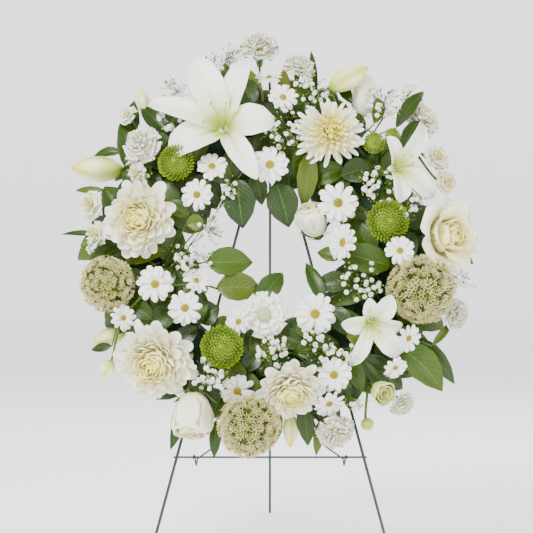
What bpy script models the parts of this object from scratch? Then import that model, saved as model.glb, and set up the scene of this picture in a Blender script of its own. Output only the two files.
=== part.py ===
"""Funeral wreath of white flowers in a foam ring, standing on a folding wire easel.

Lengths are in millimetres until a mesh is made. X runs right, Y back and Z up, from the middle of the
foam ring. The ring leans back with the easel's front legs. Each stem is pressed in from the front, past
what is already in place, and each head stands as far out as it needs to clear its neighbours.
"""

import math
import random
from collections import namedtuple

import bmesh
import bpy
import numpy as np
from mathutils import Matrix, Vector
from mathutils.bvhtree import BVHTree

# The easel, of painted steel wire
LEAN = math.radians(14.0)
LEG_LENGTH = 640.0
LEG_SPLAY = math.radians(14.4)
LEG_RADIUS = 2.1
THIN_WIRE_RADIUS = 1.4
APEX_HEIGHT = 207.0
APEX_HALF_GAP = 3.4
EASEL_MIDDLE = 3.0
PIVOT_DROP = 22.0
TOP_BAR_RADIUS = 1.6
TOP_BAR_HALF_LENGTH = 17.0
CROSSBAR_HEIGHT = -275.0
CROSSBAR_OVERHANG = 5.0
REAR_FOOT_BACK = 341.0
EYE_CLEARANCE = 0.35
BRACKET_RADIUS = 1.2
BRACKET_HALF_WIDTH = 102.0
SEAT_GAP = 0.3
LOOP_HALF_DEPTH = 4.4
LOOP_HALF_HEIGHT = 7.0
LOOP_PITCH = 5.5

# The foam ring and its plastic tray
RING_RADIUS = 170.0
FOAM_HALF_WIDTH = 32.0
FOAM_FRONT = 58.0
FOAM_CHAMFER = 9.0
TRAY_BACK = LEG_RADIUS + SEAT_GAP
TRAY_HALF_WIDTH = 38.0
TRAY_WALL = 2.0
TRAY_DEPTH = 15.0
RING_SIDES = 24

# The dome of flowers over the ring
DOME_HALF_WIDTH = 114.0
DOME_FOOT = 36.0
DOME_RISE = 74.0
DOME_TILT = math.radians(62.0)
STEM_RADIUS = 1.7
STEM_SIDES = 3
STEM_DEPTH = 20.0
BEND_LENGTH = 10.0
CLEARANCE = 0.5
SOCKET_CLEARANCE = 0.35
LEAF_THICKNESS = 1.6
PETAL_THICKNESS = 1.1
HUB_RADIUS = 4.5
FILLERS = 5
PUSHES = sorted(range(-39, 60, 3), key=abs)
FLORET_PUSHES = (6, 0, 12, -6, 18, -12, 24)
FLORET_RADIUS = 5.0

# How the photograph's 533 by 533 pixels give a place: the pixel of the ring's middle, the size of a pixel
# there, and the distance from which it was taken
MIDDLE_PX = 268.0
MIDDLE_PY = 261.0
PIXEL = 1.4
VIEW_DISTANCE = 2500.0

Head = namedtuple("Head", "kind px py size yaw pitch", defaults=(None, None))
Leaf = namedtuple("Leaf", "px py tip_px tip_py width out tip_out", defaults=(66.0, 60.0))
Tuft = namedtuple("Tuft", "px py spread count")
Bud = namedtuple("Bud", "px py tip_px tip_py radius out")

COLOURS = {
    "wire_green": ((0.02, 0.10, 0.06, 1), 0.35, 0.0),
    "tray_plastic": ((0.03, 0.16, 0.07, 1), 0.45, 0.0),
    "foam": ((0.03, 0.17, 0.08, 1), 0.95, 0.0),
    "leaf": ((0.06, 0.20, 0.02, 1), 0.35, 0.0),
    "white_petal": ((0.90, 0.90, 0.86, 1), 0.6, 0.0),
    "cream_petal": ((0.90, 0.86, 0.66, 1), 0.6, 0.0),
    "green_petal": ((0.42, 0.55, 0.05, 1), 0.6, 0.0),
    "allium": ((0.72, 0.70, 0.48, 1), 0.7, 0.0),
    "bud": ((0.82, 0.82, 0.45, 1), 0.45, 0.0),
}


# Closed shapes, each a pair of points and triangles

def facing_out(points, faces):
    """The same shape with every triangle turned outwards: its signed volume is made positive."""
    corners = points[faces]
    volume = np.einsum("ij,ij->i", corners[:, 0], np.cross(corners[:, 1], corners[:, 2])).sum()
    return points, faces if volume > 0 else faces[:, ::-1]


def loft(rings, start=None, end=None):
    """Skin over a row of rings with as many points each. An end is a point, or else a flat cap."""
    rings = np.asarray(rings, float)
    count, sides = rings.shape[:2]
    points = [*rings.reshape(-1, 3)]
    faces = []
    for i in range(count - 1):
        for j in range(sides):
            a, b = i * sides + j, i * sides + (j + 1) % sides
            c, d = a + sides, b + sides
            # The diagonals mirror each other, so that a blade's two faces never cross
            faces += [(a, b, d), (a, d, c)] if j % 2 == 0 else [(a, b, c), (b, d, c)]
    for tip, first, turn in ((start, 0, -1), (end, (count - 1) * sides, 1)):
        ring = [first + j for j in range(sides)][::turn]
        if tip is None:
            faces += [(ring[0], ring[j], ring[j + 1]) for j in range(1, sides - 1)]
        else:
            points.append(np.asarray(tip, float))
            faces += [(ring[j], ring[(j + 1) % sides], len(points) - 1) for j in range(sides)]
    return facing_out(np.array(points), np.array(faces))


def unit(vectors):
    """The vectors at length one."""
    vectors = np.asarray(vectors, float)
    return vectors / np.maximum(np.linalg.norm(vectors, axis=-1, keepdims=True), 1e-9)


def blade_rings(spine, half_widths, across, ridge):
    """Rings of a thin blade along a spine, up to its pointed tip: flat behind, with a low ridge in front.
    A stalk that runs across the blade is wide along it instead."""
    spine = np.asarray(spine, float)
    widths = np.asarray(half_widths, float)[:, None]
    ways = unit(np.gradient(spine, axis=0))
    level = unit(across)
    flat = level - ways * (ways @ level)[:, None]
    along = ways[-1] - ways * (ways @ ways[-1])[:, None]
    sideways = unit(np.where(np.linalg.norm(flat, axis=1, keepdims=True) > 0.35, flat, along))
    normals = np.cross(ways, sideways)
    crest = spine + normals * np.asarray(ridge, float)[:, None]
    return list(np.stack([spine - sideways * widths, crest, spine + sideways * widths], axis=1)[:-1])


def tube(path, radii, sides=4, flat_end=None):
    """Round wire or stem along a path, with its rings square to it. The last ring may end flat at a height."""
    path = np.asarray(path, float)
    radii = np.broadcast_to(radii, len(path))
    ways = unit(np.gradient(path, axis=0))
    normal = unit(np.cross(ways[0], (0.31, 0.22, 0.92)))
    rings = []
    for point, way, radius in zip(path, ways, radii):
        normal = unit(normal - way * (normal @ way))
        other = np.cross(way, normal)
        angles = 2 * np.pi * np.arange(sides) / sides
        ring = point + radius * (np.outer(np.cos(angles), normal) + np.outer(np.sin(angles), other))
        rings.append(ring)
    if flat_end is not None:
        rings[-1] = rings[-1] + np.outer((flat_end - rings[-1][:, 2]) / ways[-1][2], ways[-1])
    return loft(rings)


def turned(profile, sides, phase=0.0):
    """Profile of (radius, height) turned round Z. A radius of nothing at an end is a point."""
    angles = phase + 2 * np.pi * np.arange(sides) / sides
    circle = np.stack([np.cos(angles), np.sin(angles), np.zeros(sides)], axis=1)
    rings = [circle * radius + (0, 0, height) for radius, height in profile if radius > 0]
    start = (0, 0, profile[0][1]) if profile[0][0] == 0 else None
    end = (0, 0, profile[-1][1]) if profile[-1][0] == 0 else None
    return loft(rings, start, end)


def ring_solid(profile, sides):
    """Closed profile of (radius, height) carried round Z."""
    corners = len(profile)
    points = []
    for i in range(sides):
        angle = 2 * math.pi * i / sides
        points += [(r * math.cos(angle), r * math.sin(angle), h) for r, h in profile]
    faces = []
    for i in range(sides):
        for j in range(corners):
            a, b = i * corners + j, i * corners + (j + 1) % corners
            c, d = (a + corners) % len(points), (b + corners) % len(points)
            faces += [(a, b, d), (a, d, c)]
    return facing_out(np.array(points), np.array(faces))


def moved(shape, matrix):
    """The shape under a 4 by 4 matrix."""
    points, faces = shape
    matrix = np.array(matrix)
    return points @ matrix[:3, :3].T + matrix[:3, 3], faces


def around(shape, angle):
    """The shape turned about Z."""
    return moved(shape, Matrix.Rotation(angle, 4, "Z"))


# Places on the wreath

def leaned(u, v, w):
    """Point at u across, v up and w out of the leaning plane of the front legs."""
    return np.array([u, v * math.sin(LEAN) - w * math.cos(LEAN), v * math.cos(LEAN) + w * math.sin(LEAN)])


def ring_place(point):
    """(u, v, w) of a point: the other way round from leaned."""
    x, y, z = point
    return x, y * math.sin(LEAN) + z * math.cos(LEAN), z * math.sin(LEAN) - y * math.cos(LEAN)


def seen_at(px, py, out):
    """Point that the photograph shows at this pixel, out in front of the plane of the front legs."""
    across = (px - MIDDLE_PX) * PIXEL
    up = (MIDDLE_PY - py) * PIXEL
    slope = math.tan(LEAN)
    z = up * (1 - out / VIEW_DISTANCE) / (1 - up * slope / VIEW_DISTANCE)
    y = z * slope - out
    return np.array([across * (1 + y / VIEW_DISTANCE), y, z])


def dome_at(px, py):
    """Place and facing of the dome of flowers at a pixel: its outline is half an ellipse over the ring, and
    it faces further outwards towards its edges."""
    out = DOME_FOOT + DOME_RISE
    for _ in range(3):
        place = seen_at(px, py, out)
        u, v, _w = ring_place(place)
        share = (math.hypot(u, v) - RING_RADIUS) / DOME_HALF_WIDTH
        out = DOME_FOOT + DOME_RISE * math.sqrt(max(0.0, 1 - share * share))
    tilt = DOME_TILT * math.copysign(min(abs(share), 1.1) ** 1.7, share)
    radial = leaned(u, v, 0) / math.hypot(u, v)
    facing = leaned(0, 0, 1) * math.cos(tilt) + radial * math.sin(tilt)
    return seen_at(px, py, out), facing


def turned_from_front(yaw, pitch):
    """Way that a head faces: yaw degrees to the right and pitch degrees up from straight forwards."""
    a, b = math.radians(yaw), math.radians(pitch)
    return np.array([math.sin(a) * math.cos(b), -math.cos(a) * math.cos(b), math.sin(b)])


def standing(place, facing, spin=0.0):
    """Matrix that sets a shape at a place, with its Z along facing."""
    turn = Vector(facing).to_track_quat("Z", "Y").to_matrix().to_4x4()
    return Matrix.Translation(Vector(place)) @ turn @ Matrix.Rotation(spin, 4, "Z")


# Blooms. Each is one closed surface: up its stem, out under each row of petals and back over it to the next
# row, which stands half a petal further round, and so to the middle. A bloom faces +Z

Row = namedtuple("Row", "notch stations tip narrow ruffle", defaults=(None, 1.0, 0.0))
Plan = namedtuple("Plan", "count neck cup rows centre")


def bridged(points, first, second):
    """Triangles between two rings that run the same way round. The second is rolled to lie nearest the first,
    and each step is on the ring that is behind."""
    a, b = len(first), len(second)
    places, others = np.array([points[k] for k in first]), np.array([points[k] for k in second])
    partners = [round(i * b / a) for i in range(a)]
    gaps = [np.linalg.norm(places - others[[(s + p) % b for p in partners]], axis=1).sum() for s in range(b)]
    shift = int(np.argmin(gaps))
    rolled = [second[(shift + j) % b] for j in range(b + 1)]
    faces, i, j = [], 0, 0
    while i < a or j < b:
        if (i + 0.5) * b < (j + 0.5) * a:
            faces.append((first[i], first[(i + 1) % a], rolled[j]))
            i += 1
        else:
            faces.append((first[i % a], rolled[j + 1], rolled[j]))
            j += 1
    return faces


def bloom(plan, stem_path):
    """Closed surface of a bloom with its stem, whose path runs from its foot up to the neck."""
    count, half_step = plan.count, math.pi / plan.count
    points, faces = [], []

    def polar(radius, angle, height, aside=0.0):
        """Notes a point at a radius, an angle and a height, moved aside, and gives its number."""
        across = np.array([-math.sin(angle), math.cos(angle), 0.0])
        points.append(np.array([radius * math.cos(angle), radius * math.sin(angle), height]) + across * aside)
        return len(points) - 1

    stem_points, stem_faces = tube(stem_path, STEM_RADIUS, STEM_SIDES)
    points += [*stem_points]
    faces += [tuple(face) for face in stem_faces[: 2 - STEM_SIDES]]
    neck = list(range(len(points) - STEM_SIDES, len(points)))
    turn = -half_step
    angles = [turn + 2 * half_step * i for i in range(count)]
    below = neck
    for radius, height in [*plan.cup, plan.rows[0].notch]:
        ring = [polar(radius, angle, height) for angle in angles]
        if below is neck:
            faces += bridged(points, neck, ring)
        else:
            for i in range(count):
                j = (i + 1) % count
                faces += [(below[i], below[j], ring[j]), (below[i], ring[j], ring[i])]
        below = ring
    notches, phase = below, turn + half_step
    for number, row in enumerate(plan.rows):
        middles = [phase + 2 * half_step * i for i in range(count)]
        ridges = []
        for i, angle in enumerate(middles):
            share = row.narrow if i % 2 else 1.0
            last = (notches[i], notches[(i + 1) % count])
            ridge = None
            for k, (radius, height, half_width) in enumerate(row.stations):
                ruffle = row.ruffle * (-1) ** (i + number)
                right = polar(radius, angle, height + ruffle, -half_width * share)
                left = polar(radius, angle, height - ruffle, half_width * share)
                crest = polar(radius * 0.93, angle, height + PETAL_THICKNESS)
                # The under side is split along its lower diagonal, so that it stays clear of the upper side
                if ruffle < 0:
                    faces += [(last[1], left, right), (last[0], last[1], right)]
                else:
                    faces += [(last[0], left, right), (last[0], last[1], left)]
                if ridge is None:
                    faces += [(last[0], right, crest), (left, last[1], crest)]
                    first_crest = crest
                else:
                    faces += [(last[0], right, crest), (last[0], crest, ridge)]
                    faces += [(left, last[1], ridge), (left, ridge, crest)]
                last, ridge = (right, left), crest
            if row.tip is None:
                faces.append((last[0], last[1], ridge))
            else:
                tip = polar(row.tip[0], angle, row.tip[1])
                faces += [(last[0], last[1], tip), (last[0], tip, ridge), (tip, last[1], ridge)]
            ridges.append(first_crest)
        if number + 1 < len(plan.rows):
            radius, height = plan.rows[number + 1].notch
        else:
            radius, height = plan.centre[0]
        inner = [polar(radius, angle, height) for angle in middles]
        for i in range(count):
            j, before = (i + 1) % count, (i - 1) % count
            faces += [(notches[i], ridges[i], inner[i]), (ridges[i], notches[j], inner[i])]
            faces.append((notches[i], inner[i], inner[before]))
        notches = [inner[i - 1] for i in range(1, count)] + [inner[-1]]
        phase += half_step
    top = polar(0, 0, plan.centre[1][1])
    faces += [(notches[i], notches[(i + 1) % count], top) for i in range(count)]
    return facing_out(np.array(points), np.array(faces))


def daisy(size):
    """Daisy: one row of petals round a domed disc."""
    r = size / 2
    rows = [Row((0.24 * r, -1.5), ((0.9 * r, 0.08 * r, 0.21 * r),))]
    return Plan(10, 7.0, (), rows, ((0.22 * r, 1.0), (0, 0.17 * r)))


def shaggy_mum(size):
    """Large chrysanthemum: rows of long petals, the outer ones spread and the inner ones upright."""
    r = size / 2
    rows = [
        Row((0.36 * r, -0.06 * r), ((0.96 * r, -0.04 * r, 0.19 * r),)),
        Row((0.34 * r, 0.10 * r), ((0.82 * r, 0.28 * r, 0.16 * r),)),
        Row((0.27 * r, 0.24 * r), ((0.56 * r, 0.52 * r, 0.11 * r),)),
        Row((0.18 * r, 0.36 * r), ((0.27 * r, 0.68 * r, 0.055 * r),)),
    ]
    return Plan(11, 14.0, (), rows, ((0.1 * r, 0.44 * r), (0, 0.5 * r)))


def spider_mum(size):
    """Spider chrysanthemum: rows of narrow pointed petals."""
    r = size / 2
    rows = [
        Row((0.3 * r, -0.06 * r), ((0.74 * r, -0.02 * r, 0.1 * r),), (r, 0.05 * r)),
        Row((0.28 * r, 0.12 * r), ((0.6 * r, 0.32 * r, 0.09 * r),), (0.8 * r, 0.42 * r)),
        Row((0.2 * r, 0.26 * r), ((0.34 * r, 0.5 * r, 0.06 * r),), (0.44 * r, 0.66 * r)),
    ]
    return Plan(13, 12.0, (), rows, ((0.12 * r, 0.36 * r), (0, 0.44 * r)))


def scabiosa(size):
    """Scabiosa: two rows of broad petals round a pincushion."""
    r = size / 2
    rows = [
        Row((0.36 * r, -0.05 * r), ((0.94 * r, 0.02 * r, 0.3 * r),), None, 1.0, 1.0),
        Row((0.33 * r, 0.08 * r), ((0.66 * r, 0.26 * r, 0.2 * r),), None, 1.0, -1.0),
    ]
    return Plan(8, 8.0, (), rows, ((0.28 * r, 0.18 * r), (0, 0.36 * r)))


def carnation(size):
    """Carnation: rows of ruffled petals over a long green cup."""
    r = size / 2
    rows = [
        Row((0.3 * r, -0.1 * r), ((0.96 * r, 0.05 * r, 0.33 * r),), None, 1.0, 0.09 * r),
        Row((0.3 * r, 0.08 * r), ((0.74 * r, 0.34 * r, 0.24 * r),), None, 1.0, -0.07 * r),
        Row((0.2 * r, 0.22 * r), ((0.36 * r, 0.54 * r, 0.11 * r),), None, 1.0, 0.04 * r),
    ]
    return Plan(7, 0.95 * r, ((0.2 * r, -0.8 * r),), rows, ((0.1 * r, 0.3 * r), (0, 0.38 * r)))


def rose(size):
    """Rose: cupped petals round a pointed bud."""
    r = size / 2
    rows = [
        Row((0.4 * r, -0.5 * r), ((0.78 * r, -0.1 * r, 0.36 * r), (0.95 * r, 0.36 * r, 0.34 * r))),
        Row((0.42 * r, -0.1 * r), ((0.58 * r, 0.3 * r, 0.28 * r), (0.56 * r, 0.58 * r, 0.2 * r))),
    ]
    return Plan(6, 0.8 * r, (), rows, ((0.3 * r, 0.3 * r), (0, 0.62 * r)))


def lily(size):
    """Lily: three broad and three narrower tepals that flare from a throat and curl back."""
    r = size / 2
    stations = ((0.42 * r, 0.06 * r, 0.22 * r), (0.76 * r, 0.13 * r, 0.25 * r))
    rows = [Row((0.12 * r, -0.34 * r), stations, (1.0 * r, 0.07 * r), 0.72)]
    return Plan(6, 0.5 * r, (), rows, ((0.06 * r, -0.2 * r), (0, -0.14 * r)))


def stock_floret(size):
    """Floret of a stock: one row of broad ruffled petals."""
    r = size / 2
    rows = [Row((0.28 * r, -0.1 * r), ((0.92 * r, 0.16 * r, 0.42 * r),), None, 1.0, 0.12 * r)]
    return Plan(5, 0.6 * r, (), rows, ((0.14 * r, 0.02 * r), (0, 0.16 * r)))


def lisianthus(size):
    """Half-open lisianthus: a cup of upright petals."""
    r = size / 2
    rows = [Row((0.6 * r, -0.6 * r), ((0.92 * r, 0.5 * r, 0.46 * r),))]
    return Plan(5, 1.1 * r, ((0.34 * r, -1.0 * r),), rows, ((0.45 * r, -0.1 * r), (0, 0.4 * r)))


def spiked_ball(size, radius, flatness, squash, spike, divisions=2):
    """Ball of florets: an icosphere whose every face is raised to a point. Its lower half is squashed."""
    r = size / 2
    mesh = bmesh.new()
    bmesh.ops.create_icosphere(mesh, subdivisions=divisions, radius=radius * r)
    for vertex in mesh.verts:
        vertex.co.z *= flatness if vertex.co.z > 0 else squash
    bmesh.ops.poke(mesh, faces=mesh.faces[:], offset=spike * r)
    points = np.array([vertex.co for vertex in mesh.verts])
    faces = np.array([[vertex.index for vertex in face.verts] for face in mesh.faces])
    mesh.free()
    return facing_out(points, faces)


PLANS = {
    "daisy": daisy,
    "shaggy_mum": shaggy_mum,
    "spider_mum": spider_mum,
    "scabiosa": scabiosa,
    "carnation": carnation,
    "rose": rose,
    "lily": lily,
    "stock": stock_floret,
    "lisianthus": lisianthus,
}

# For each ball: the radius and spikes as shares of the whole radius, how flat its halves are, and its fineness
BALLS = {
    "green_mum": (0.8, 0.7, 0.35, 0.24, 2),
    "button": (0.8, 0.7, 0.4, 0.3, 1),
    "allium": (0.8, 1.0, 0.85, 0.22, 2),
    "pod": (0.9, 0.6, 0.9, 0.12, 1),
}


def neck_of(head):
    """How far behind a head's middle its stem starts."""
    if head.kind in PLANS:
        return PLANS[head.kind](head.size).neck
    _radius, _flatness, squash, _spike, _divisions = BALLS[head.kind]
    return 0.3 * squash * head.size


def stamens(size):
    """Six filaments and the pistil of a lily."""
    r = size / 2
    shapes = [tube([(0, 0, -0.29 * r), (0.03 * r, 0.05 * r, 0.46 * r)], 1.2, 3)]
    for i in range(6):
        filament = tube([(0.016 * r, 0, -0.26 * r), (0.27 * r, 0, 0.34 * r)], 0.8, 3)
        shapes.append(around(filament, math.pi * i / 3 + 0.5))
    return shapes


def head_on_stem(head, matrix, path):
    """Shapes of a head and its stem, whose path from foot to neck is in the model's own places."""
    if head.kind in BALLS:
        radius, flatness, squash, spike, divisions = BALLS[head.kind]
        ball = moved(spiked_ball(head.size, radius, flatness, squash, spike, divisions), matrix)
        return [ball, tube([*path, np.array(matrix.translation)], STEM_RADIUS, STEM_SIDES)]
    local = matrix.inverted()
    local_path = [np.array(local @ Vector(point)) for point in path]
    shapes = [moved(bloom(PLANS[head.kind](head.size), local_path), matrix)]
    if head.kind == "lily":
        shapes += [moved(shape, matrix) for shape in stamens(head.size)]
    return shapes


# What grows from a knot: leaves, buds and florets. Each is a row of rings and a tip, from its own face

def level_ring(place_point, way, radii, start=0.0):
    """Ring of points square to a way, at these radii."""
    way = unit(way)
    aside = unit(np.cross(way, (0.31, 0.22, 0.92)))
    other = np.cross(way, aside)
    radii = np.asarray(radii, float)
    angles = start + 2 * np.pi * np.arange(len(radii)) / len(radii)
    return place_point + np.outer(radii * np.cos(angles), aside) + np.outer(radii * np.sin(angles), other)


def leaf_arm(leaf, push):
    """Pointed oval leaf on its stalk: arched towards the viewer and folded along its midrib."""
    base = seen_at(leaf.px, leaf.py, leaf.out + push)
    tip = seen_at(leaf.tip_px, leaf.tip_py, leaf.tip_out + push)
    return leaf_between(base, tip, leaf.width, leaned(0, 0, 1))


def leaf_between(base, tip, width, normal):
    """Rings and tip of a leaf between two points, as a function of where its stalk starts."""
    def rings(start):
        ways = np.array([0.0, 0.3, 0.68, 1.0])
        arch = 0.09 * np.linalg.norm(tip - base)
        leaf = base + np.outer(ways, tip - base) + np.outer(4 * ways * (1 - ways) * arch, normal)
        spine = np.concatenate([[start], leaf])
        widths = np.array([1.2, 1.2, 0.47 * width, 0.42 * width, 0.0])
        ridge = np.array([1.8, 1.8, LEAF_THICKNESS, LEAF_THICKNESS, 0.0])
        return blade_rings(spine, widths, np.cross(normal, tip - base), -ridge), tip
    return base, rings


def bud_arm(bud, push):
    """Three-lobed closed bud on its stalk, fullest past its middle."""
    base = seen_at(bud.px, bud.py, bud.out + push)
    tip = seen_at(bud.tip_px, bud.tip_py, bud.out + push - 6)

    def rings(start):
        lobes = 1 + 0.12 * (-1.0) ** np.arange(6)
        made = [level_ring(start, base - start, np.full(6, 1.5))]
        for way, girth in ((0.04, 0.24), (0.42, 0.86), (0.74, 0.94)):
            made.append(level_ring(base + (tip - base) * way, tip - base, bud.radius * girth * lobes))
        return made, tip
    return base, rings


def floret_arm(middle):
    """Floret of gypsophila: a thin stalk that flares to a small cone."""
    def rings(start):
        way = unit(middle - start)
        low = level_ring(start, way, np.full(3, 0.7))
        high = level_ring(middle - way * 4.5, way, np.full(3, 0.7))
        rim = level_ring(middle, way, np.full(3, FLORET_RADIUS))
        return [low, high, rim], middle + way * 3.0
    return middle, rings


def stem_arm(path):
    """Stem from a knot through the points of a path, which ends at its foot."""
    def rings(start):
        joints = [start, *path]
        ways = np.gradient(np.array(joints), axis=0)
        return [level_ring(p, way, np.full(STEM_SIDES, STEM_RADIUS)) for p, way in zip(joints, ways)], None
    return path[0], rings


class Knot:
    """Small knot of twenty faces. Each arm grows from the face nearest its direction that is still free."""

    def __init__(self, middle, path):
        self.middle = np.asarray(middle, float)
        mesh = bmesh.new()
        bmesh.ops.create_icosphere(mesh, subdivisions=1, radius=HUB_RADIUS)
        points = np.array([vertex.co for vertex in mesh.verts])
        self.faces = [tuple(vertex.index for vertex in face.verts) for face in mesh.faces]
        mesh.free()
        down = Vector(points[list(self.faces[0])].mean(axis=0))
        turn = down.rotation_difference(Vector(path[0] - self.middle))
        self.points = points @ np.array(turn.to_matrix()).T + self.middle
        self.free = list(range(len(self.faces)))
        self.arms = []
        self.kept = []
        self.grow(stem_arm(path))

    def centre(self, face):
        """Middle of a face."""
        return self.points[list(self.faces[face])].mean(axis=0)

    def try_arm(self, arm):
        """Face, rings and tip of an arm from its best free face."""
        target, rings_from = arm
        way = unit(target - self.middle)
        face = max(self.free, key=lambda k: unit(self.centre(k) - self.middle) @ way)
        start = self.centre(face) + unit(self.centre(face) - self.middle) * 1.6
        rings, tip = rings_from(start)
        return face, rings, tip

    def grow(self, arm):
        """Adds an arm."""
        face, rings, tip = self.try_arm(arm)
        self.free.remove(face)
        self.arms.append((face, rings, tip))

    def shape(self):
        """Knot and arms as one closed surface."""
        points = list(self.points)
        faces = [self.faces[k] for k in self.free]
        for face, rings, tip in self.arms:
            below = list(self.faces[face])
            for ring in turned_alike(rings, self.centre(face), tip):
                above = list(range(len(points), len(points) + len(ring)))
                points += list(ring)
                faces += bridged(points, below, above)
                below = above
            if tip is None:
                faces += [(below[0], below[k], below[k + 1]) for k in range(1, len(below) - 1)]
            else:
                points.append(tip)
                faces += [(below[k], below[(k + 1) % len(below)], len(points) - 1) for k in range(len(below))]
        return facing_out(np.array(points), np.array(faces))


def turning_with(ring, way):
    """The ring with its points running anticlockwise as seen against the way."""
    middle = ring.mean(axis=0)
    area = sum(np.cross(ring[k] - middle, ring[(k + 1) % len(ring)] - middle) for k in range(len(ring)))
    return ring if area @ way > 0 else ring[::-1]


def turned_alike(rings, start, tip):
    """The rings of an arm, all running the same way round as seen from its far end."""
    middles = [start, *[ring.mean(axis=0) for ring in rings]]
    middles.append(middles[-1] if tip is None else tip)
    return [turning_with(ring, middles[k + 2] - middles[k]) for k, ring in enumerate(rings)]


# What is in place, so that the next piece clears it

Solid = namedtuple("Solid", "owner tree low high")
placed = []
foam_solids = []


def whole(shapes):
    """The shapes as one pair of points and triangles."""
    points, faces, offset = [], [], 0
    for shape_points, shape_faces in shapes:
        points.append(shape_points)
        faces.append(shape_faces + offset)
        offset += len(shape_points)
    return np.concatenate(points), np.concatenate(faces)


def grown(shapes, by):
    """The shapes with each point moved out along the mean of its faces' normals."""
    points, faces = whole(shapes)
    corners = points[faces]
    normals = np.cross(corners[:, 1] - corners[:, 0], corners[:, 2] - corners[:, 0])
    total = np.zeros_like(points)
    for k in range(3):
        np.add.at(total, faces[:, k], unit(normals))
    return points + by * unit(total), faces


def solid_of(owner, points, faces):
    """Search tree and box of a shape."""
    tree = BVHTree.FromPolygons(points.tolist(), faces.tolist())
    return Solid(owner, tree, points.min(axis=0), points.max(axis=0))


def place(owner, shapes):
    """Notes the shapes as being in place, as part of a node."""
    placed.append(solid_of(owner, *whole(shapes)))


def meets(one, other):
    """Whether two solids touch."""
    return (one.low <= other.high).all() and (other.low <= one.high).all() and bool(one.tree.overlap(other.tree))


def is_clear(shapes, by=CLEARANCE, in_foam=False, owner=None):
    """Whether the shapes clear everything in place but their own node by this much, and the foam unless
    they stand in it."""
    trial = solid_of(owner, *grown(shapes, by))
    others = placed if in_foam else placed + foam_solids
    return not any(other.owner != owner and meets(trial, other) for other in others)


# Stems, pressed into the foam

sockets = []


def foot_place(angle, radius, depth):
    """Point inside the foam, at an angle round the ring."""
    return leaned(radius * math.cos(angle), radius * math.sin(angle), FOAM_FRONT - depth)


def in_section(point):
    """Whether a point is inside the foam, or within a few millimetres of it."""
    u, v, w = ring_place(point)
    return abs(math.hypot(u, v) - RING_RADIUS) < FOAM_HALF_WIDTH + 3 and w < FOAM_FRONT + 3


def socket_of(path):
    """Hole in the foam for the stem with this path, from its foot to where it bends."""
    foot, bend = path[0], path[1]
    return tube([foot - unit(bend - foot) * 0.5, bend], STEM_RADIUS * 1.25 + SOCKET_CLEARANCE, 4)


def feet_near(place_point):
    """Places inside the foam for a foot, the nearest to a point first: behind its front or its sides."""
    u, v, _w = ring_place(place_point)
    middle = math.atan2(v, u)
    limit = FOAM_HALF_WIDTH - 10.0
    places = [(step * limit / 3, FOAM_FRONT - STEM_DEPTH) for step in range(-3, 4)]
    places += [(side * (FOAM_HALF_WIDTH - STEM_DEPTH), w) for side in (-1, 1) for w in (28.0, 34.0, 40.0)]
    feet = []
    for turn in range(-14, 15):
        angle = middle + math.radians(turn * 2.0)
        for aside, w in places:
            radius = RING_RADIUS + aside
            feet.append(leaned(radius * math.cos(angle), radius * math.sin(angle), w))
    return sorted(feet, key=lambda foot: float(np.linalg.norm(foot - place_point)))


def rooted(neck, way):
    """Path of the first stem to a neck that clears what is in place, from its foot up, or None. It meets the
    neck square."""
    for length in (BEND_LENGTH, BEND_LENGTH * 2, BEND_LENGTH * 0.5):
        bend = neck + way * length
        if in_section(bend):
            continue
        for foot in feet_near(bend):
            stem = tube([foot, bend, bend * 0.2 + neck * 0.8], STEM_RADIUS, STEM_SIDES)
            if is_clear([stem], in_foam=True):
                return [foot, bend, neck]
    return None


def branched(neck, way, main_path, own):
    """Path of a branch from a point on a spray's main stem to another neck, clear of what is in place and
    of the spray's own heads, or None."""
    foot, bend = main_path[0], main_path[1]
    for share in (0.0, 0.12, 0.24, 0.36, 0.48, 0.6, 0.72):
        joint = bend * (1 - share) + foot * share
        if in_section(joint):
            continue
        for length in (10.0, 16.0, 6.0, 24.0, 34.0):
            path = [joint, neck + way * length, neck]
            off = unit(path[1] - joint) * 6.0
            stem = tube([joint + off, path[1], path[1] * 0.2 + neck * 0.8], STEM_RADIUS, STEM_SIDES)
            if is_clear([stem]) and not any(meets(solid_of("", *stem), other) for other in own):
                return path
    return None


# Nodes

nodes = []


def material_of(name):
    """Principled material of a colour in the list, made once."""
    material = bpy.data.materials.get(name)
    if material is None:
        colour, roughness, metallic = COLOURS[name]
        material = bpy.data.materials.new(name)
        material.use_nodes = True
        shader = material.node_tree.nodes["Principled BSDF"]
        shader.inputs["Base Color"].default_value = colour
        shader.inputs["Roughness"].default_value = roughness
        shader.inputs["Metallic"].default_value = metallic
    return material


def mesh_object(name, shape, material, collection):
    """Object of one shape, in metres."""
    points, faces = shape
    mesh = bpy.data.meshes.new(name)
    mesh.from_pydata((points * 0.001).tolist(), [], faces.tolist())
    mesh.materials.append(material_of(material))
    made = bpy.data.objects.new(name, mesh)
    collection.objects.link(made)
    return made


def combine(made, shapes, operation):
    """Joins the shapes to an object, or cuts them from it, by one Boolean on a collection."""
    others = bpy.data.collections.new("others")
    bpy.context.scene.collection.children.link(others)
    for i, shape in enumerate(shapes):
        mesh_object(f"other_{i}", shape, made.data.materials[0].name, others)
    boolean = made.modifiers.new("combine", "BOOLEAN")
    boolean.operation = operation
    boolean.operand_type = "COLLECTION"
    boolean.collection = others
    boolean.solver = "MANIFOLD"
    graph = bpy.context.evaluated_depsgraph_get()
    mesh = bpy.data.meshes.new_from_object(made.evaluated_get(graph))
    made.modifiers.clear()
    made.data = mesh
    for other in list(others.objects):
        bpy.data.objects.remove(other)
    bpy.data.collections.remove(others)


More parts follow.
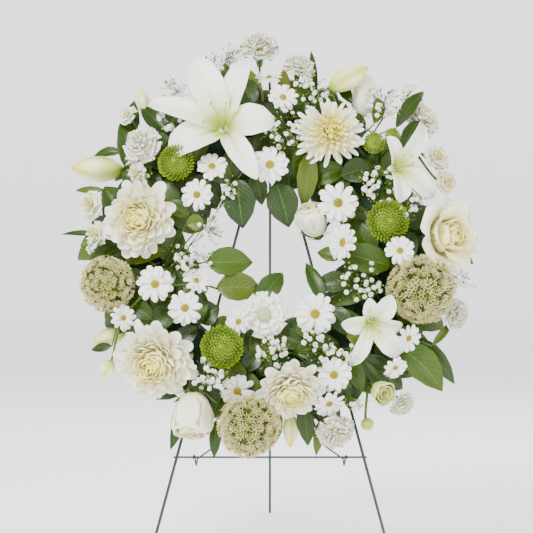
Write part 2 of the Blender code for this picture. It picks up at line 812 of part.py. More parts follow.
def node(name, shapes, material):
    """Node of the wreath: its shapes joined into one closed body."""
    made = mesh_object(name, shapes[0], material, bpy.context.scene.collection)
    if len(shapes) > 1:
        combine(made, shapes[1:], "UNION")
    made.data.shade_flat()
    nodes.append(made)
    place(name, shapes)
    return made


# The easel and the ring

def easel_point(u, v, w=0.0):
    """Point on the easel, from its own middle line."""
    return leaned(u + EASEL_MIDDLE, v, w)


def build_easel():
    """Two front legs, the bars behind them, the bracket that carries the ring, and the rear leg."""
    foot_height = APEX_HEIGHT - LEG_LENGTH * math.cos(LEG_SPLAY)
    spread = math.tan(LEG_SPLAY)
    floor = leaned(0, foot_height, 0)[2]
    for name, side in (("easel_leg_left", -1), ("easel_leg_right", 1)):
        top = easel_point(side * APEX_HALF_GAP, APEX_HEIGHT)
        foot = easel_point(side * (APEX_HALF_GAP + spread * (APEX_HEIGHT - foot_height)), foot_height)
        node(name, [tube([top, foot], LEG_RADIUS, 8, floor)], "wire_green")
    bar_behind = -(LEG_RADIUS + TOP_BAR_RADIUS + SEAT_GAP)
    pivot_height = APEX_HEIGHT - PIVOT_DROP
    bar = [easel_point(side * TOP_BAR_HALF_LENGTH, pivot_height, bar_behind) for side in (-1, 1)]
    node("easel_top_bar", [tube(bar, TOP_BAR_RADIUS, 12)], "wire_green")
    crossbar_half = APEX_HALF_GAP + spread * (APEX_HEIGHT - CROSSBAR_HEIGHT) + CROSSBAR_OVERHANG
    crossbar_behind = -(LEG_RADIUS + THIN_WIRE_RADIUS + SEAT_GAP)
    ends = [easel_point(side * crossbar_half, CROSSBAR_HEIGHT, crossbar_behind) for side in (-1, 1)]
    node("easel_crossbar", [tube(ends, THIN_WIRE_RADIUS, 8)], "wire_green")
    build_rear_leg(easel_point(0, pivot_height, bar_behind), floor)
    build_bracket(easel_point(0, CROSSBAR_HEIGHT, crossbar_behind))


def build_rear_leg(pivot, floor):
    """Rear leg: an eye round the top bar, and a straight wire down to the floor behind."""
    eye_radius = TOP_BAR_RADIUS + EYE_CLEARANCE / math.cos(math.pi / 12) + LEG_RADIUS
    foot = np.array([pivot[0], REAR_FOOT_BACK, floor])
    down = unit(foot - pivot)
    eye = []
    steps = 12
    for i in range(steps):
        angle = 2 * math.pi * i / steps
        hoop_out = np.cross((1, 0, 0), down) * math.sin(angle) + down * math.cos(angle)
        for j in range(6):
            turn = 2 * math.pi * j / 6
            reach = eye_radius + LEG_RADIUS * math.cos(turn)
            eye.append(pivot + hoop_out * reach + np.array([LEG_RADIUS * math.sin(turn), 0, 0]))
    faces = []
    for i in range(steps):
        for j in range(6):
            a, b = i * 6 + j, i * 6 + (j + 1) % 6
            c, d = (a + 6) % len(eye), (b + 6) % len(eye)
            faces += [(a, b, d), (a, d, c)]
    hoop = facing_out(np.array(eye), np.array(faces))
    wire = tube([pivot + down * (eye_radius + 0.2), foot], LEG_RADIUS, 8, floor)
    node("easel_leg_rear", [wire, hoop], "wire_green")


def build_bracket(bar_middle):
    """Bent wire that carries the ring: a turn round the crossbar at each end, arms that rise inwards and
    forwards, and a run under the tray."""
    under_tray = -(RING_RADIUS + TRAY_HALF_WIDTH + BRACKET_RADIUS + SEAT_GAP)
    run = leaned(0, under_tray, TRAY_BACK + TRAY_DEPTH / 2)
    hang = THIN_WIRE_RADIUS + SEAT_GAP + BRACKET_RADIUS - LOOP_HALF_HEIGHT
    left = []
    for i in range(11):
        angle = math.radians(-70 + 36 * i)
        along = -BRACKET_HALF_WIDTH - LOOP_PITCH / 2 + LOOP_PITCH * i / 10
        left.append((along, LOOP_HALF_DEPTH * math.sin(angle), hang + LOOP_HALF_HEIGHT * math.cos(angle)))
    points = [bar_middle + np.array(p) for p in left]
    rise = points[-1] + np.array([30.0, -12.0, 22.0])
    corner = np.array([bar_middle[0] - 42.0, run[1], run[2] - 6.0])
    points += [rise, corner + (-16.0, 3.0, -8.0), corner + (0, 0, 3.0)]
    run_end = np.array([bar_middle[0] - 24.0, run[1], run[2]])
    half = [*points, run_end]
    mirror = [np.array([2 * bar_middle[0] - p[0], p[1], p[2]]) for p in half[::-1]]
    node("easel_bracket", [tube([*half, *mirror], BRACKET_RADIUS, 6)], "wire_green")


def leaned_ring(shape):
    """A shape built round Z, set round the leaning axis of the ring."""
    points, faces = shape
    return np.array([leaned(*p) for p in points]), faces


def build_ring():
    """Plastic tray, and the foam that its channel holds."""
    outer, inner = RING_RADIUS + TRAY_HALF_WIDTH, RING_RADIUS - TRAY_HALF_WIDTH
    floor, rim = TRAY_BACK, TRAY_BACK + TRAY_DEPTH
    channel = [
        (inner, floor), (outer, floor), (outer, rim), (outer - TRAY_WALL, rim),
        (outer - TRAY_WALL - 2, floor + TRAY_WALL), (inner + TRAY_WALL + 2, floor + TRAY_WALL),
        (inner + TRAY_WALL, rim), (inner, rim),
    ]
    node("ring_tray", [leaned_ring(ring_solid(channel, RING_SIDES))], "tray_plastic")
    low = TRAY_BACK + TRAY_WALL + SEAT_GAP
    wide, narrow = RING_RADIUS + FOAM_HALF_WIDTH, RING_RADIUS - FOAM_HALF_WIDTH
    foam = [
        (narrow, low), (wide, low), (wide, FOAM_FRONT - FOAM_CHAMFER), (wide - FOAM_CHAMFER, FOAM_FRONT),
        (narrow + FOAM_CHAMFER, FOAM_FRONT), (narrow, FOAM_FRONT - FOAM_CHAMFER),
    ]
    return leaned_ring(ring_solid(foam, RING_SIDES))


# The flowers and leaves, as read off the photograph

FRONT_LEAF_OUT = 104.0

SPRAYS = {
    "daisies_top": ("white_petal", [Head("daisy", 269, 78, 40, -12, 55), Head("daisy", 283, 98, 45, 10, 28)]),
    "carnations_top": ("white_petal", [Head("carnation", 259, 50, 50, -4, 70), Head("carnation", 298, 68, 42, 12, 58)]),
    "stocks_left": ("white_petal", [Head("stock", 92, 205, 34, -42, 6), Head("stock", 97, 234, 30, -40, -6)]),
    "stock_nw": ("white_petal", [
        Head("carnation", 143, 146, 52, -30, 22), Head("stock", 128, 116, 26, -40, 30),
        Head("stock", 137, 172, 24, -34, 0),
    ]),
    "carnations_right": ("white_petal", [
        Head("carnation", 421, 121, 50, 44, 34), Head("stock", 437, 158, 32, 30, 30),
        Head("stock", 445, 182, 30, 44, 8),
    ]),
    "carnation_se": ("white_petal", [Head("carnation", 455, 314, 40, 50, -14)]),
    "lisianthus_se": ("bud", [
        Head("lisianthus", 381, 391, 38, 30, -20), Head("carnation", 402, 403, 34, 48, -34),
        Head("pod", 367, 424, 18, 20, -50), Head("carnation", 335, 430, 50, 18, -44),
    ]),
    "rose_right": ("cream_petal", [Head("rose", 446, 236, 66, 52, 14)]),
    "rose_low": ("cream_petal", [Head("rose", 193, 413, 62, -14, -52)]),
    "rose_inner": ("cream_petal", [Head("rose", 316, 222, 44, -38, -12)]),
    "allium_left": ("allium", [Head("allium", 107, 284, 78, -34, -2)]),
    "allium_bottom": ("allium", [Head("allium", 249, 426, 86, -4, -30)]),
    "allium_right": ("allium", [Head("allium", 422, 289, 98, 24, -4)]),
    "mum_left": ("cream_petal", [Head("shaggy_mum", 142, 219, 108, -14, 0)]),
    "mum_low_left": ("cream_petal", [Head("shaggy_mum", 158, 359, 112, -14, -16)]),
    "mum_bottom": ("cream_petal", [Head("shaggy_mum", 290, 386, 92, 4, -34)]),
    "mum_top": ("cream_petal", [Head("spider_mum", 329, 134, 98, 4, 10)]),
    "green_mum_right": ("green_petal", [Head("green_mum", 388, 221, 62, 6, 2)]),
    "green_mum_low": ("green_petal", [Head("green_mum", 222, 347, 62, -4, 4)]),
    "green_mum_left": ("green_petal", [Head("green_mum", 176, 163, 54, -10, 10)]),
    "green_buttons": ("green_petal", [Head("button", 374, 143, 33, 0, 8), Head("button", 392, 136, 26, 14, 20)]),
    "scabiosa": ("white_petal", [Head("scabiosa", 264, 315, 64, 0, 4)]),
    "daisies_nw": ("white_petal", [Head("daisy", 212, 167, 46, 4, 30), Head("daisy", 197, 195, 47, -4, 6)]),
    "daisies_east": ("white_petal", [Head("daisy", 338, 203, 60, 2, 6), Head("daisy", 343, 243, 56, -50, 8)]),
    "daisy_east_low": ("white_petal", [Head("daisy", 399, 251, 44, 6, 12)]),
    "daisies_west": ("white_petal", [
        Head("daisy", 155, 284, 54, 8, 2), Head("daisy", 185, 308, 50, 2, 2), Head("daisy", 196, 281, 40, 20, 30),
        Head("daisy", 123, 318, 38, 24, 6),
    ]),
    "daisies_south": ("white_petal", [Head("daisy", 239, 322, 40, -24, 12), Head("daisy", 237, 392, 50, 2, -6)]),
    "daisy_inner": ("white_petal", [Head("daisy", 315, 314, 60, 2, 4)]),
    "daisies_bottom": ("white_petal", [Head("daisy", 334, 375, 52, 6, -4), Head("daisy", 329, 403, 46, 20, -38)]),
    "daisies_se": ("white_petal", [Head("daisy", 408, 338, 42, 34, -16), Head("daisy", 395, 367, 36, 20, -30)]),
    "daisy_north": ("white_petal", [Head("daisy", 270, 165, 56, -2, 10)]),
    "lily_top": ("white_petal", [Head("lily", 222, 124, 158, -4, 14)]),
    "lily_right": ("white_petal", [Head("lily", 398, 168, 104, -36, 6)]),
    "lily_low": ("white_petal", [Head("lily", 372, 324, 100, 10, -12)]),
}

FIRST_BLOOMS = ("mum_left", "mum_low_left", "mum_bottom", "mum_top", "allium_left", "allium_bottom",
                "allium_right", "rose_right", "rose_low", "green_mum_right", "green_mum_low")

FOLIAGE = {
    "leaves_nw": (
        [Leaf(124, 166, 134, 99, 34, 62, 44), Leaf(122, 152, 93, 156, 17, 54, 40), Leaf(168, 134, 141, 106, 30, 72, 52)],
        [Bud(147, 118, 141, 88, 9, 56)],
    ),
    "leaves_inner_top": (
        [Leaf(238, 178, 243, 228, 50, 80, 66), Leaf(276, 182, 289, 227, 48, 82, 66), Leaf(309, 152, 303, 208, 32, 86, 66),
         Leaf(253, 172, 262, 205, 28, 74, 62), Leaf(254, 152, 268, 126, 24, 84, 84)],
        [],
    ),
    "leaves_top": (
        [Leaf(262, 112, 247, 66, 26, 70, 40), Leaf(316, 98, 311, 49, 12, 66, 36), Leaf(288, 104, 284, 68, 20, 66, 46),
         Leaf(232, 96, 224, 62, 22, 62, 40)],
        [],
    ),
    "leaves_ne": (
        [Leaf(396, 128, 425, 90, 22, 66, 44), Leaf(374, 124, 377, 96, 20, 66, 50), Leaf(402, 152, 420, 118, 24, 74, 50),
         Leaf(352, 104, 337, 72, 20, 62, 40), Leaf(372, 168, 340, 176, 40, 84, 84)],
        [Bud(329, 90, 368, 67, 15, 74), Bud(362, 118, 366, 70, 16, 60)],
    ),
    "leaves_inner_right": (
        [Leaf(392, 266, 337, 249, 46, 98, 104), Leaf(352, 280, 314, 284, 34, 84, 78), Leaf(342, 258, 317, 252, 24, 78, 66),
         Leaf(324, 302, 306, 262, 24, 82, 70), Leaf(440, 240, 474, 264, 22, 60, 40)],
        [],
    ),
    "leaves_se": (
        [Leaf(398, 346, 443, 391, 50, 74, 54), Leaf(420, 338, 455, 384, 26, 60, 40), Leaf(372, 344, 346, 336, 34, 84, 88),
         Leaf(432, 346, 453, 320, 12, 66, 54)],
        [],
    ),
    "leaves_bottom": (
        [Leaf(302, 404, 308, 446, 26, 70, 50), Leaf(322, 418, 316, 456, 16, 62, 46), Leaf(216, 420, 214, 458, 18, 62, 50),
         Leaf(180, 398, 170, 450, 20, 60, 44), Leaf(352, 384, 350, 410, 24, 70, 60),
         Leaf(262, 352, 240, 372, 28, 84, 80), Leaf(270, 356, 256, 378, 22, 80, 70)],
        [Bud(290, 412, 290, 448, 10, 60)],
    ),
    "leaves_west": (
        [Leaf(104, 190, 75, 190, 12, 58, 46), Leaf(104, 236, 60, 234, 10, 60, 40), Leaf(124, 262, 168, 251, 28, 82, 88),
         Leaf(112, 346, 91, 350, 14, 56, 44), Leaf(152, 320, 130, 300, 26, 84, 78), Leaf(176, 344, 198, 326, 28, 84, 84)],
        [Bud(124, 169, 71, 167, 17, 56), Bud(126, 330, 93, 342, 12, 58), Bud(112, 360, 102, 377, 9, 52)],
    ),
    "leaves_inner_left": (
        [Leaf(206, 262, 253, 262, 44, 84, 74), Leaf(216, 288, 262, 290, 44, 82, 76), Leaf(190, 216, 166, 200, 26, 84, 84),
         Leaf(258, 302, 283, 272, 34, 84, 72), Leaf(204, 222, 186, 226, 26, 84, 84)],
        [],
    ),
}

GYPSOPHILA = {
    "gyp_nw": [Tuft(172, 92, 9, 7), Tuft(170, 118, 8, 4), Tuft(216, 63, 10, 6)],
    "gyp_north": [Tuft(286, 128, 12, 9), Tuft(311, 92, 11, 7)],
    "gyp_ne": [Tuft(381, 104, 12, 9), Tuft(410, 98, 9, 5)],
    "gyp_east": [Tuft(376, 182, 15, 12), Tuft(409, 206, 8, 4)],
    "gyp_inner_left": [Tuft(212, 228, 12, 7), Tuft(186, 258, 12, 8)],
    "gyp_sw": [Tuft(206, 374, 12, 10)],
    "gyp_south": [Tuft(274, 352, 11, 6), Tuft(314, 342, 9, 7)],
    "gyp_inner_right": [Tuft(362, 284, 13, 10)],
    "gyp_right": [Tuft(457, 268, 9, 6)],
}


def arm_alone(rings, tip):
    """An arm as a closed shape by itself."""
    return loft(turned_alike(rings, rings[0].mean(axis=0), tip), None, tip)


def grow_clear(knot, owner, arm_at, pushes):
    """Grows an arm at the first push at which it clears what is in place and the knot's other arms."""
    for push in pushes:
        arm = arm_at(push)
        face, rings, tip = knot.try_arm(arm)
        if unit(knot.centre(face) - knot.middle) @ unit(arm[0] - knot.middle) < 0.35:
            continue
        alone = arm_alone(rings, tip)
        trial = solid_of(owner, *grown([alone], CLEARANCE))
        if is_clear([alone], owner=owner) and not any(meets(trial, other) for other in knot.kept):
            knot.grow(arm)
            knot.kept.append(solid_of(owner, *alone))
            return True
    return False


def filler_arm(angle, inwards, push):
    """Leaf that lies over a shoulder of the foam, at an angle round the ring."""
    near, far, high, low = (148.0, 94.0, 67.0, 44.0) if inwards else (192.0, 264.0, 67.0, 34.0)
    lean = angle + 0.08
    base = leaned(near * math.cos(angle), near * math.sin(angle), high + push)
    tip = leaned(far * math.cos(lean), far * math.sin(lean), low + push)
    slope = unit(np.cross(np.cross(tip - base, leaned(0, 0, 1)), tip - base))
    return leaf_between(base, tip, 44.0, slope)


def start_foliage(name, leaves, buds):
    """Leafy stem: leaves and buds on stalks from one knot over the foam."""
    middle = np.mean([seen_at(p.px, p.py, p.out) for p in [*leaves, *buds]], axis=0)
    for foot in feet_near(middle):
        u, v, w = ring_place(foot)
        hub = leaned(u, v, FOAM_FRONT + 8.0)
        knot = Knot(hub, [foot])
        if abs(w - FOAM_FRONT + STEM_DEPTH) < 0.01 and is_clear([knot.shape()], 2.0, in_foam=True):
            break
    for leaf in leaves:
        if not grow_clear(knot, name, lambda push: leaf_arm(leaf, push), PUSHES):
            print("left out of", name, leaf)
    for bud in buds:
        if not grow_clear(knot, name, lambda push: bud_arm(bud, push), PUSHES):
            print("left out of", name, bud)
    sockets.append(socket_of([foot, hub]))
    place(name, [knot.shape()])
    return knot


def finish_foliage(name, knot):
    """Adds leaves over the foam's shoulders on either side of a leafy stem, where there is room."""
    u, v, _w = ring_place(knot.middle)
    angle = math.atan2(v, u)
    before = len(knot.arms)
    for turn in (-15, 15, -5, 5, -9, 10):
        for inwards in (False, True):
            at = angle + math.radians(turn)
            if len(knot.arms) < before + FILLERS:
                grow_clear(knot, name, lambda push: filler_arm(at, inwards, push), (0, 4, -4, 8, 12))
    print(name, "arms", before - 1, "and fillers", len(knot.arms) - before)
    node(name, [knot.shape()], "leaf")


def head_stand(head, push):
    """Matrix, neck and backward way of a head that is pushed out from the dome."""
    spot, facing = dome_at(head.px, head.py)
    if head.yaw is not None:
        facing = turned_from_front(head.yaw, head.pitch)
    spot = spot + (0, -push, 0)
    matrix = standing(spot, facing, spin=head.px * 0.7)
    return matrix, spot - unit(facing) * neck_of(head), -unit(facing)


def build_spray(name, material, heads):
    """Heads of one spray, each as near to the dome as it and its stem clear what is in place."""
    shapes, own, pushes, main_path = [], [], [], None
    for head in heads:
        for push in PUSHES:
            matrix, neck, way = head_stand(head, push)
            alone = head_on_stem(head, matrix, [neck + way * BEND_LENGTH * 0.4, neck])
            if not is_clear(alone):
                continue
            path = branched(neck, way, main_path, own) if main_path else rooted(neck, way)
            if path:
                break
        else:
            print("left out of", name, head)
            continue
        main_path = main_path or path
        pushes.append(push)
        own.append(solid_of(name, *whole(alone)))
        shapes += head_on_stem(head, matrix, path)
    sockets.append(socket_of(main_path))
    print(name, "pushed", pushes)
    node(name, shapes, material)


def build_gypsophila(name, tufts):
    """Spray of gypsophila: florets on fine stalks from one knot. A floret stays where it and its stalk are
    clear."""
    draw = random.Random(name)
    spot, facing = dome_at(np.mean([t.px for t in tufts]), np.mean([t.py for t in tufts]))
    facing = unit(facing)
    for back in (30, 36, 24, 42, 18, 48, 12, 54, 6):
        hub = spot - facing * back
        path = rooted(hub, -facing)
        if path:
            knot = Knot(hub, [path[1], path[0]])
            if is_clear([knot.shape()], in_foam=True):
                break
    else:
        print("left out, no stem:", name)
        return
    for tuft in tufts:
        for _i in range(tuft.count):
            turn = draw.uniform(0, 2 * math.pi)
            reach = tuft.spread * math.sqrt(draw.uniform(0, 1))
            px, py = tuft.px + reach * math.cos(turn), tuft.py + reach * math.sin(turn)
            middle, _facing = dome_at(px, py)
            pushes = [push for push in FLORET_PUSHES if np.linalg.norm(middle - (0, push, 0) - hub) > 16]
            if len(knot.free) > 1:
                grow_clear(knot, name, lambda push: floret_arm(middle - (0, push, 0)), pushes)
    sockets.append(socket_of(path))
    print(name, "florets", len(knot.arms) - 1)
    node(name, [knot.shape()], "white_petal")


def finish(foam):
    """Cuts the stems' holes in the foam, and sets the whole wreath over the middle of its footprint."""
    made = mesh_object("foam_ring", foam, "foam", bpy.context.scene.collection)
    combine(made, sockets, "DIFFERENCE")
    nodes.append(made)
    low, high = np.full(3, np.inf), np.full(3, -np.inf)
    for each in nodes:
        points = np.array([v.co for v in each.data.vertices])
        low, high = np.minimum(low, points.min(axis=0)), np.maximum(high, points.max(axis=0))
    shift = Vector((-(low[0] + high[0]) / 2, -(low[1] + high[1]) / 2, -low[2]))
    for each in nodes:
        each.data.transform(Matrix.Translation(shift))
    print("shift", [round(c * 1000, 2) for c in shift])


def main():
    """Builds the wreath from the easel outwards."""
    for old in list(bpy.data.objects):
        bpy.data.objects.remove(old)
    build_easel()
    foam = build_ring()
    foam_solids.append(solid_of("foam_ring", *foam))
    for name in FIRST_BLOOMS:
        build_spray(name, *SPRAYS[name])
    knots = {name: start_foliage(name, *parts) for name, parts in FOLIAGE.items()}
    for name, parts in SPRAYS.items():
        if name not in FIRST_BLOOMS:
            build_spray(name, *parts)
    for name, tufts in GYPSOPHILA.items():
        build_gypsophila(name, tufts)
    for name, knot in knots.items():
        finish_foliage(name, knot)
    finish(foam)


main()
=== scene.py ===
"""Dresses the funeral wreath: fine flowers, leaves and stems in place of its plain solids, on its wire easel.

Lengths are in millimetres until a mesh is made, with X right, Y back and Z up from the middle of the ring,
as in the part's source. New surfaces are worked out as whole arrays. A bloom is made facing +Z and is then
set on its stem.
"""

import math
from collections import namedtuple
from functools import partial

import bpy
import numpy as np
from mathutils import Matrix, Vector


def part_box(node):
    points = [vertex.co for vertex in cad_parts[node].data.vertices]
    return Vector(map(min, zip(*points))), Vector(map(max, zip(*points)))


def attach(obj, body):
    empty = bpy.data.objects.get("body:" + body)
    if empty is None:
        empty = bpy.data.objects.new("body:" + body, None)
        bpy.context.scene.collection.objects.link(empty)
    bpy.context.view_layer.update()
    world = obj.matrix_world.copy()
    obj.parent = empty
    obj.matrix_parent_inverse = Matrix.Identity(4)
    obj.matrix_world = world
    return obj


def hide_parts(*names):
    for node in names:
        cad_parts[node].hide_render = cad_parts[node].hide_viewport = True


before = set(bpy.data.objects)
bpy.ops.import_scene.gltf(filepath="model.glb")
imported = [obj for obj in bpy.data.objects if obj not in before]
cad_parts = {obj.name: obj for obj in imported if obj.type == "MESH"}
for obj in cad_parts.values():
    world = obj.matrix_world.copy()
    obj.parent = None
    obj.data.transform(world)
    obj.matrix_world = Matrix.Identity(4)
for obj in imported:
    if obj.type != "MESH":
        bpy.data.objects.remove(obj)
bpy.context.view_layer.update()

# The leaning ring and its foam, as in the part's source
LEAN = math.radians(14.0)
RING_RADIUS = 170.0
FOAM_HALF_WIDTH = 32.0
FOAM_FRONT = 58.0
FOAM_CHAMFER = 9.0
TRAY_BACK = 2.4
TRAY_HALF_WIDTH = 38.0
TRAY_WALL = 2.0
TRAY_DEPTH = 15.0
TOP_BAR = (3.0, 185.0, -4.0)

# The dome of flowers, and the photograph's view of it
DOME_HALF_WIDTH = 114.0
DOME_FOOT = 36.0
DOME_RISE = 74.0
MIDDLE_PX = 268.0
MIDDLE_PY = 261.0
PHOTO_SIDE = 533
PIXEL = 1.4
VIEW_DISTANCE = 2500.0

METRES = 0.001
ANY_TURN = 6.28
ODD_WAY = np.array([0.31, 0.22, 0.92])
GOLDEN_ANGLE = math.pi * (3 - math.sqrt(5))

Bloom = namedtuple("Bloom", "kind px py size yaw pitch push bend")
Leaf = namedtuple("Leaf", "px py tip_px tip_py width out tip_out push", defaults=(0,))
Bud = namedtuple("Bud", "px py tip_px tip_py radius out push tone", defaults=(0, 0.0))
Shoulder = namedtuple("Shoulder", "degrees inwards push", defaults=(0,))
Tuft = namedtuple("Tuft", "px py spread count")

# A skin: points, four-cornered and three-cornered faces, a mark of (along, across, tone) at each point for
# the materials, and the name of its material
Skin = namedtuple("Skin", "points quads tris marks paint")


# Places on the wreath

def unit(vectors):
    """The vectors at length one."""
    vectors = np.asarray(vectors, float)
    return vectors / np.maximum(np.linalg.norm(vectors, axis=-1, keepdims=True), 1e-9)


def leaned(u, v, w):
    """Point at u across, v up and w out of the leaning plane of the front legs."""
    return np.array([u, v * math.sin(LEAN) - w * math.cos(LEAN), v * math.cos(LEAN) + w * math.sin(LEAN)])


def ring_place(radius, angle, out):
    """Point at a radius and an angle round the ring, and out of its plane."""
    return leaned(radius * math.cos(angle), radius * math.sin(angle), out)


def seen_at(px, py, out):
    """Point that the photograph shows at this pixel, out in front of the plane of the front legs."""
    across = (px - MIDDLE_PX) * PIXEL
    up = (MIDDLE_PY - py) * PIXEL
    slope = math.tan(LEAN)
    z = up * (1 - out / VIEW_DISTANCE) / (1 - up * slope / VIEW_DISTANCE)
    y = z * slope - out
    return np.array([across * (1 + y / VIEW_DISTANCE), y, z])


def dome_at(px, py):
    """Place on the dome of flowers at a pixel: its outline is half an ellipse over the ring."""
    out = DOME_FOOT + DOME_RISE
    for _ in range(3):
        x, y, z = seen_at(px, py, out)
        share = (math.hypot(x, y * math.sin(LEAN) + z * math.cos(LEAN)) - RING_RADIUS) / DOME_HALF_WIDTH
        out = DOME_FOOT + DOME_RISE * math.sqrt(max(0.0, 1 - share * share))
    return seen_at(px, py, out)


def frames_for(ways, turns=0.0):
    """Three axes for each way, which becomes Z: X is square to it and to an odd fixed way, then turned."""
    ways = unit(ways)
    x = unit(np.cross(ODD_WAY, ways))
    y = np.cross(ways, x)
    turns = np.broadcast_to(turns, ways.shape[:1])[:, None]
    cos, sin = np.cos(turns), np.sin(turns)
    return np.stack([x * cos + y * sin, y * cos - x * sin, ways], axis=2)


SHIFT = (np.add(*np.array(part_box("easel_top_bar"))) / 2) / METRES - leaned(*TOP_BAR)
OUTWARDS = leaned(0, 0, 1)


# Skins

def skins(grid, start, end, marks, paint):
    """Closed skins over many forms at once. A form has rings of points: each ring joins the next, each point
    joins the next round its ring, and a pole closes either end. A form that comes out inside out, by its
    signed volume, has its faces turned round."""
    forms, rings, sides = grid.shape[:3]
    body = rings * sides
    here = np.arange(sides)
    there = (here + 1) % sides
    step = np.arange(rings - 1)[:, None] * sides
    quads = np.stack([step + here, step + there, step + sides + there, step + sides + here], axis=-1)
    quads = quads.reshape(-1, 4)
    tris = np.concatenate([
        np.stack([there, here, np.full(sides, body)], axis=-1),
        np.stack([here + body - sides, there + body - sides, np.full(sides, body + 1)], axis=-1),
    ])
    points = np.concatenate([grid.reshape(forms, body, 3), start[:, None], end[:, None]], axis=1)
    corners = points[:, np.concatenate([quads[:, :3], quads[:, [0, 2, 3]], tris])]
    volume = np.einsum("fij,fij->f", corners[:, :, 0], np.cross(corners[:, :, 1], corners[:, :, 2]))
    inside_out = (volume < 0)[:, None, None]
    offsets = (np.arange(forms) * (body + 2))[:, None, None]
    quads = np.where(inside_out, quads[:, ::-1], quads) + offsets
    tris = np.where(inside_out, tris[:, ::-1], tris) + offsets
    return Skin(points.reshape(-1, 3), quads.reshape(-1, 4), tris.reshape(-1, 3), marks.reshape(-1, 3), paint)


def marks_for(forms, along, across, tone):
    """Marks of the points of a grid and its two poles: how far along and across each is, and its form's
    tone."""
    rings, sides = len(along), len(across)
    body = np.stack(np.broadcast_arrays(along[:, None], across[None, :], 0.0), axis=-1).reshape(-1, 3)
    one = np.concatenate([body, [[0.0, 0.0, 0.0], [1.0, 0.0, 0.0]]])
    marks = np.broadcast_to(one, (forms, rings * sides + 2, 3)).copy()
    marks[:, :, 2] = np.broadcast_to(tone, forms)[:, None]
    return marks


def blades(spine, side, face, widths, along, thick, paint, tone=0.0, sides=8, cup=0.0, groove=0.0, frill=0.0,
           waves=3.0, phase=0.0, ragged=0.0):
    """Thin closed blades along spines. At an angle q round a section, t = cos q runs across: the point is the
    spine + side * width * t + face * (thick * sin q + lift), and the lift is width * (cup * t^2, less
    groove * exp(-(t / 0.25)^2), plus frill * along^2 * sin(waves * pi * t + phase)). A ragged tip reaches
    further where |sin(2.5 pi t)| is high. The first and last stations of a spine are its poles."""
    forms = len(spine)
    angles = 2 * np.pi * np.arange(sides) / sides
    t, over = np.cos(angles), np.sin(angles)
    s = along[1:-1]
    width = np.broadcast_to(widths, spine.shape[:2])[:, 1:-1, None]
    phase = np.broadcast_to(phase, forms)[:, None, None]
    frill = np.broadcast_to(frill, forms)[:, None, None]
    lift = cup * t ** 2 - groove * np.exp(-(t / 0.25) ** 2)
    lift = width * (lift + frill * s[:, None] ** 2 * np.sin(waves * np.pi * t + phase))
    reach = ragged * width * s[:, None] ** 8 * np.abs(np.sin(2.5 * np.pi * t + phase))
    ways = unit(np.gradient(spine, axis=1))[:, 1:-1, None]
    side = np.broadcast_to(side, spine.shape)[:, 1:-1, None]
    face = np.broadcast_to(face, spine.shape)[:, 1:-1, None]
    grid = spine[:, 1:-1, None] + side * (width * t)[..., None] + face * (thick * over + lift)[..., None]
    grid = grid + ways * reach[..., None]
    return skins(grid, spine[:, 0], spine[:, -1], marks_for(forms, s, t, tone), paint)


# Half-widths of petals and leaves from base to tip, as shares of the widest
OUTLINES = {
    "spoon": ((0, 0.15, 0.5, 0.8, 0.93, 1), (0.45, 0.6, 0.95, 1, 0.75, 0.35)),
    "strap": ((0, 0.2, 0.6, 0.85, 0.95, 1), (0.6, 0.85, 1, 0.85, 0.55, 0.2)),
    "quill": ((0, 0.3, 0.7, 0.9, 1), (0.8, 0.9, 1, 0.8, 0.3)),
    "broad": ((0, 0.2, 0.5, 0.8, 0.95, 1), (0.3, 0.62, 0.95, 1, 0.8, 0.45)),
    "fan": ((0, 0.3, 0.6, 0.85, 1), (0.12, 0.3, 0.66, 0.95, 1)),
    "oval": ((0, 0.2, 0.55, 0.82, 0.95, 1), (0.5, 0.78, 1, 0.9, 0.62, 0.3)),
    "tepal": ((0, 0.15, 0.35, 0.6, 0.8, 0.93, 1), (0.35, 0.58, 0.9, 1, 0.79, 0.4, 0.07)),
    "star": ((0, 0.3, 0.7, 1), (0.6, 1, 0.7, 0.1)),
    "leaf": ((0, 0.08, 0.25, 0.5, 0.75, 0.92, 1), (0.06, 0.4, 0.86, 1, 0.72, 0.26, 0.02)),
}


def outline(name, along):
    """Half-widths of an outline at these shares of its length."""
    return np.interp(along, *OUTLINES[name])


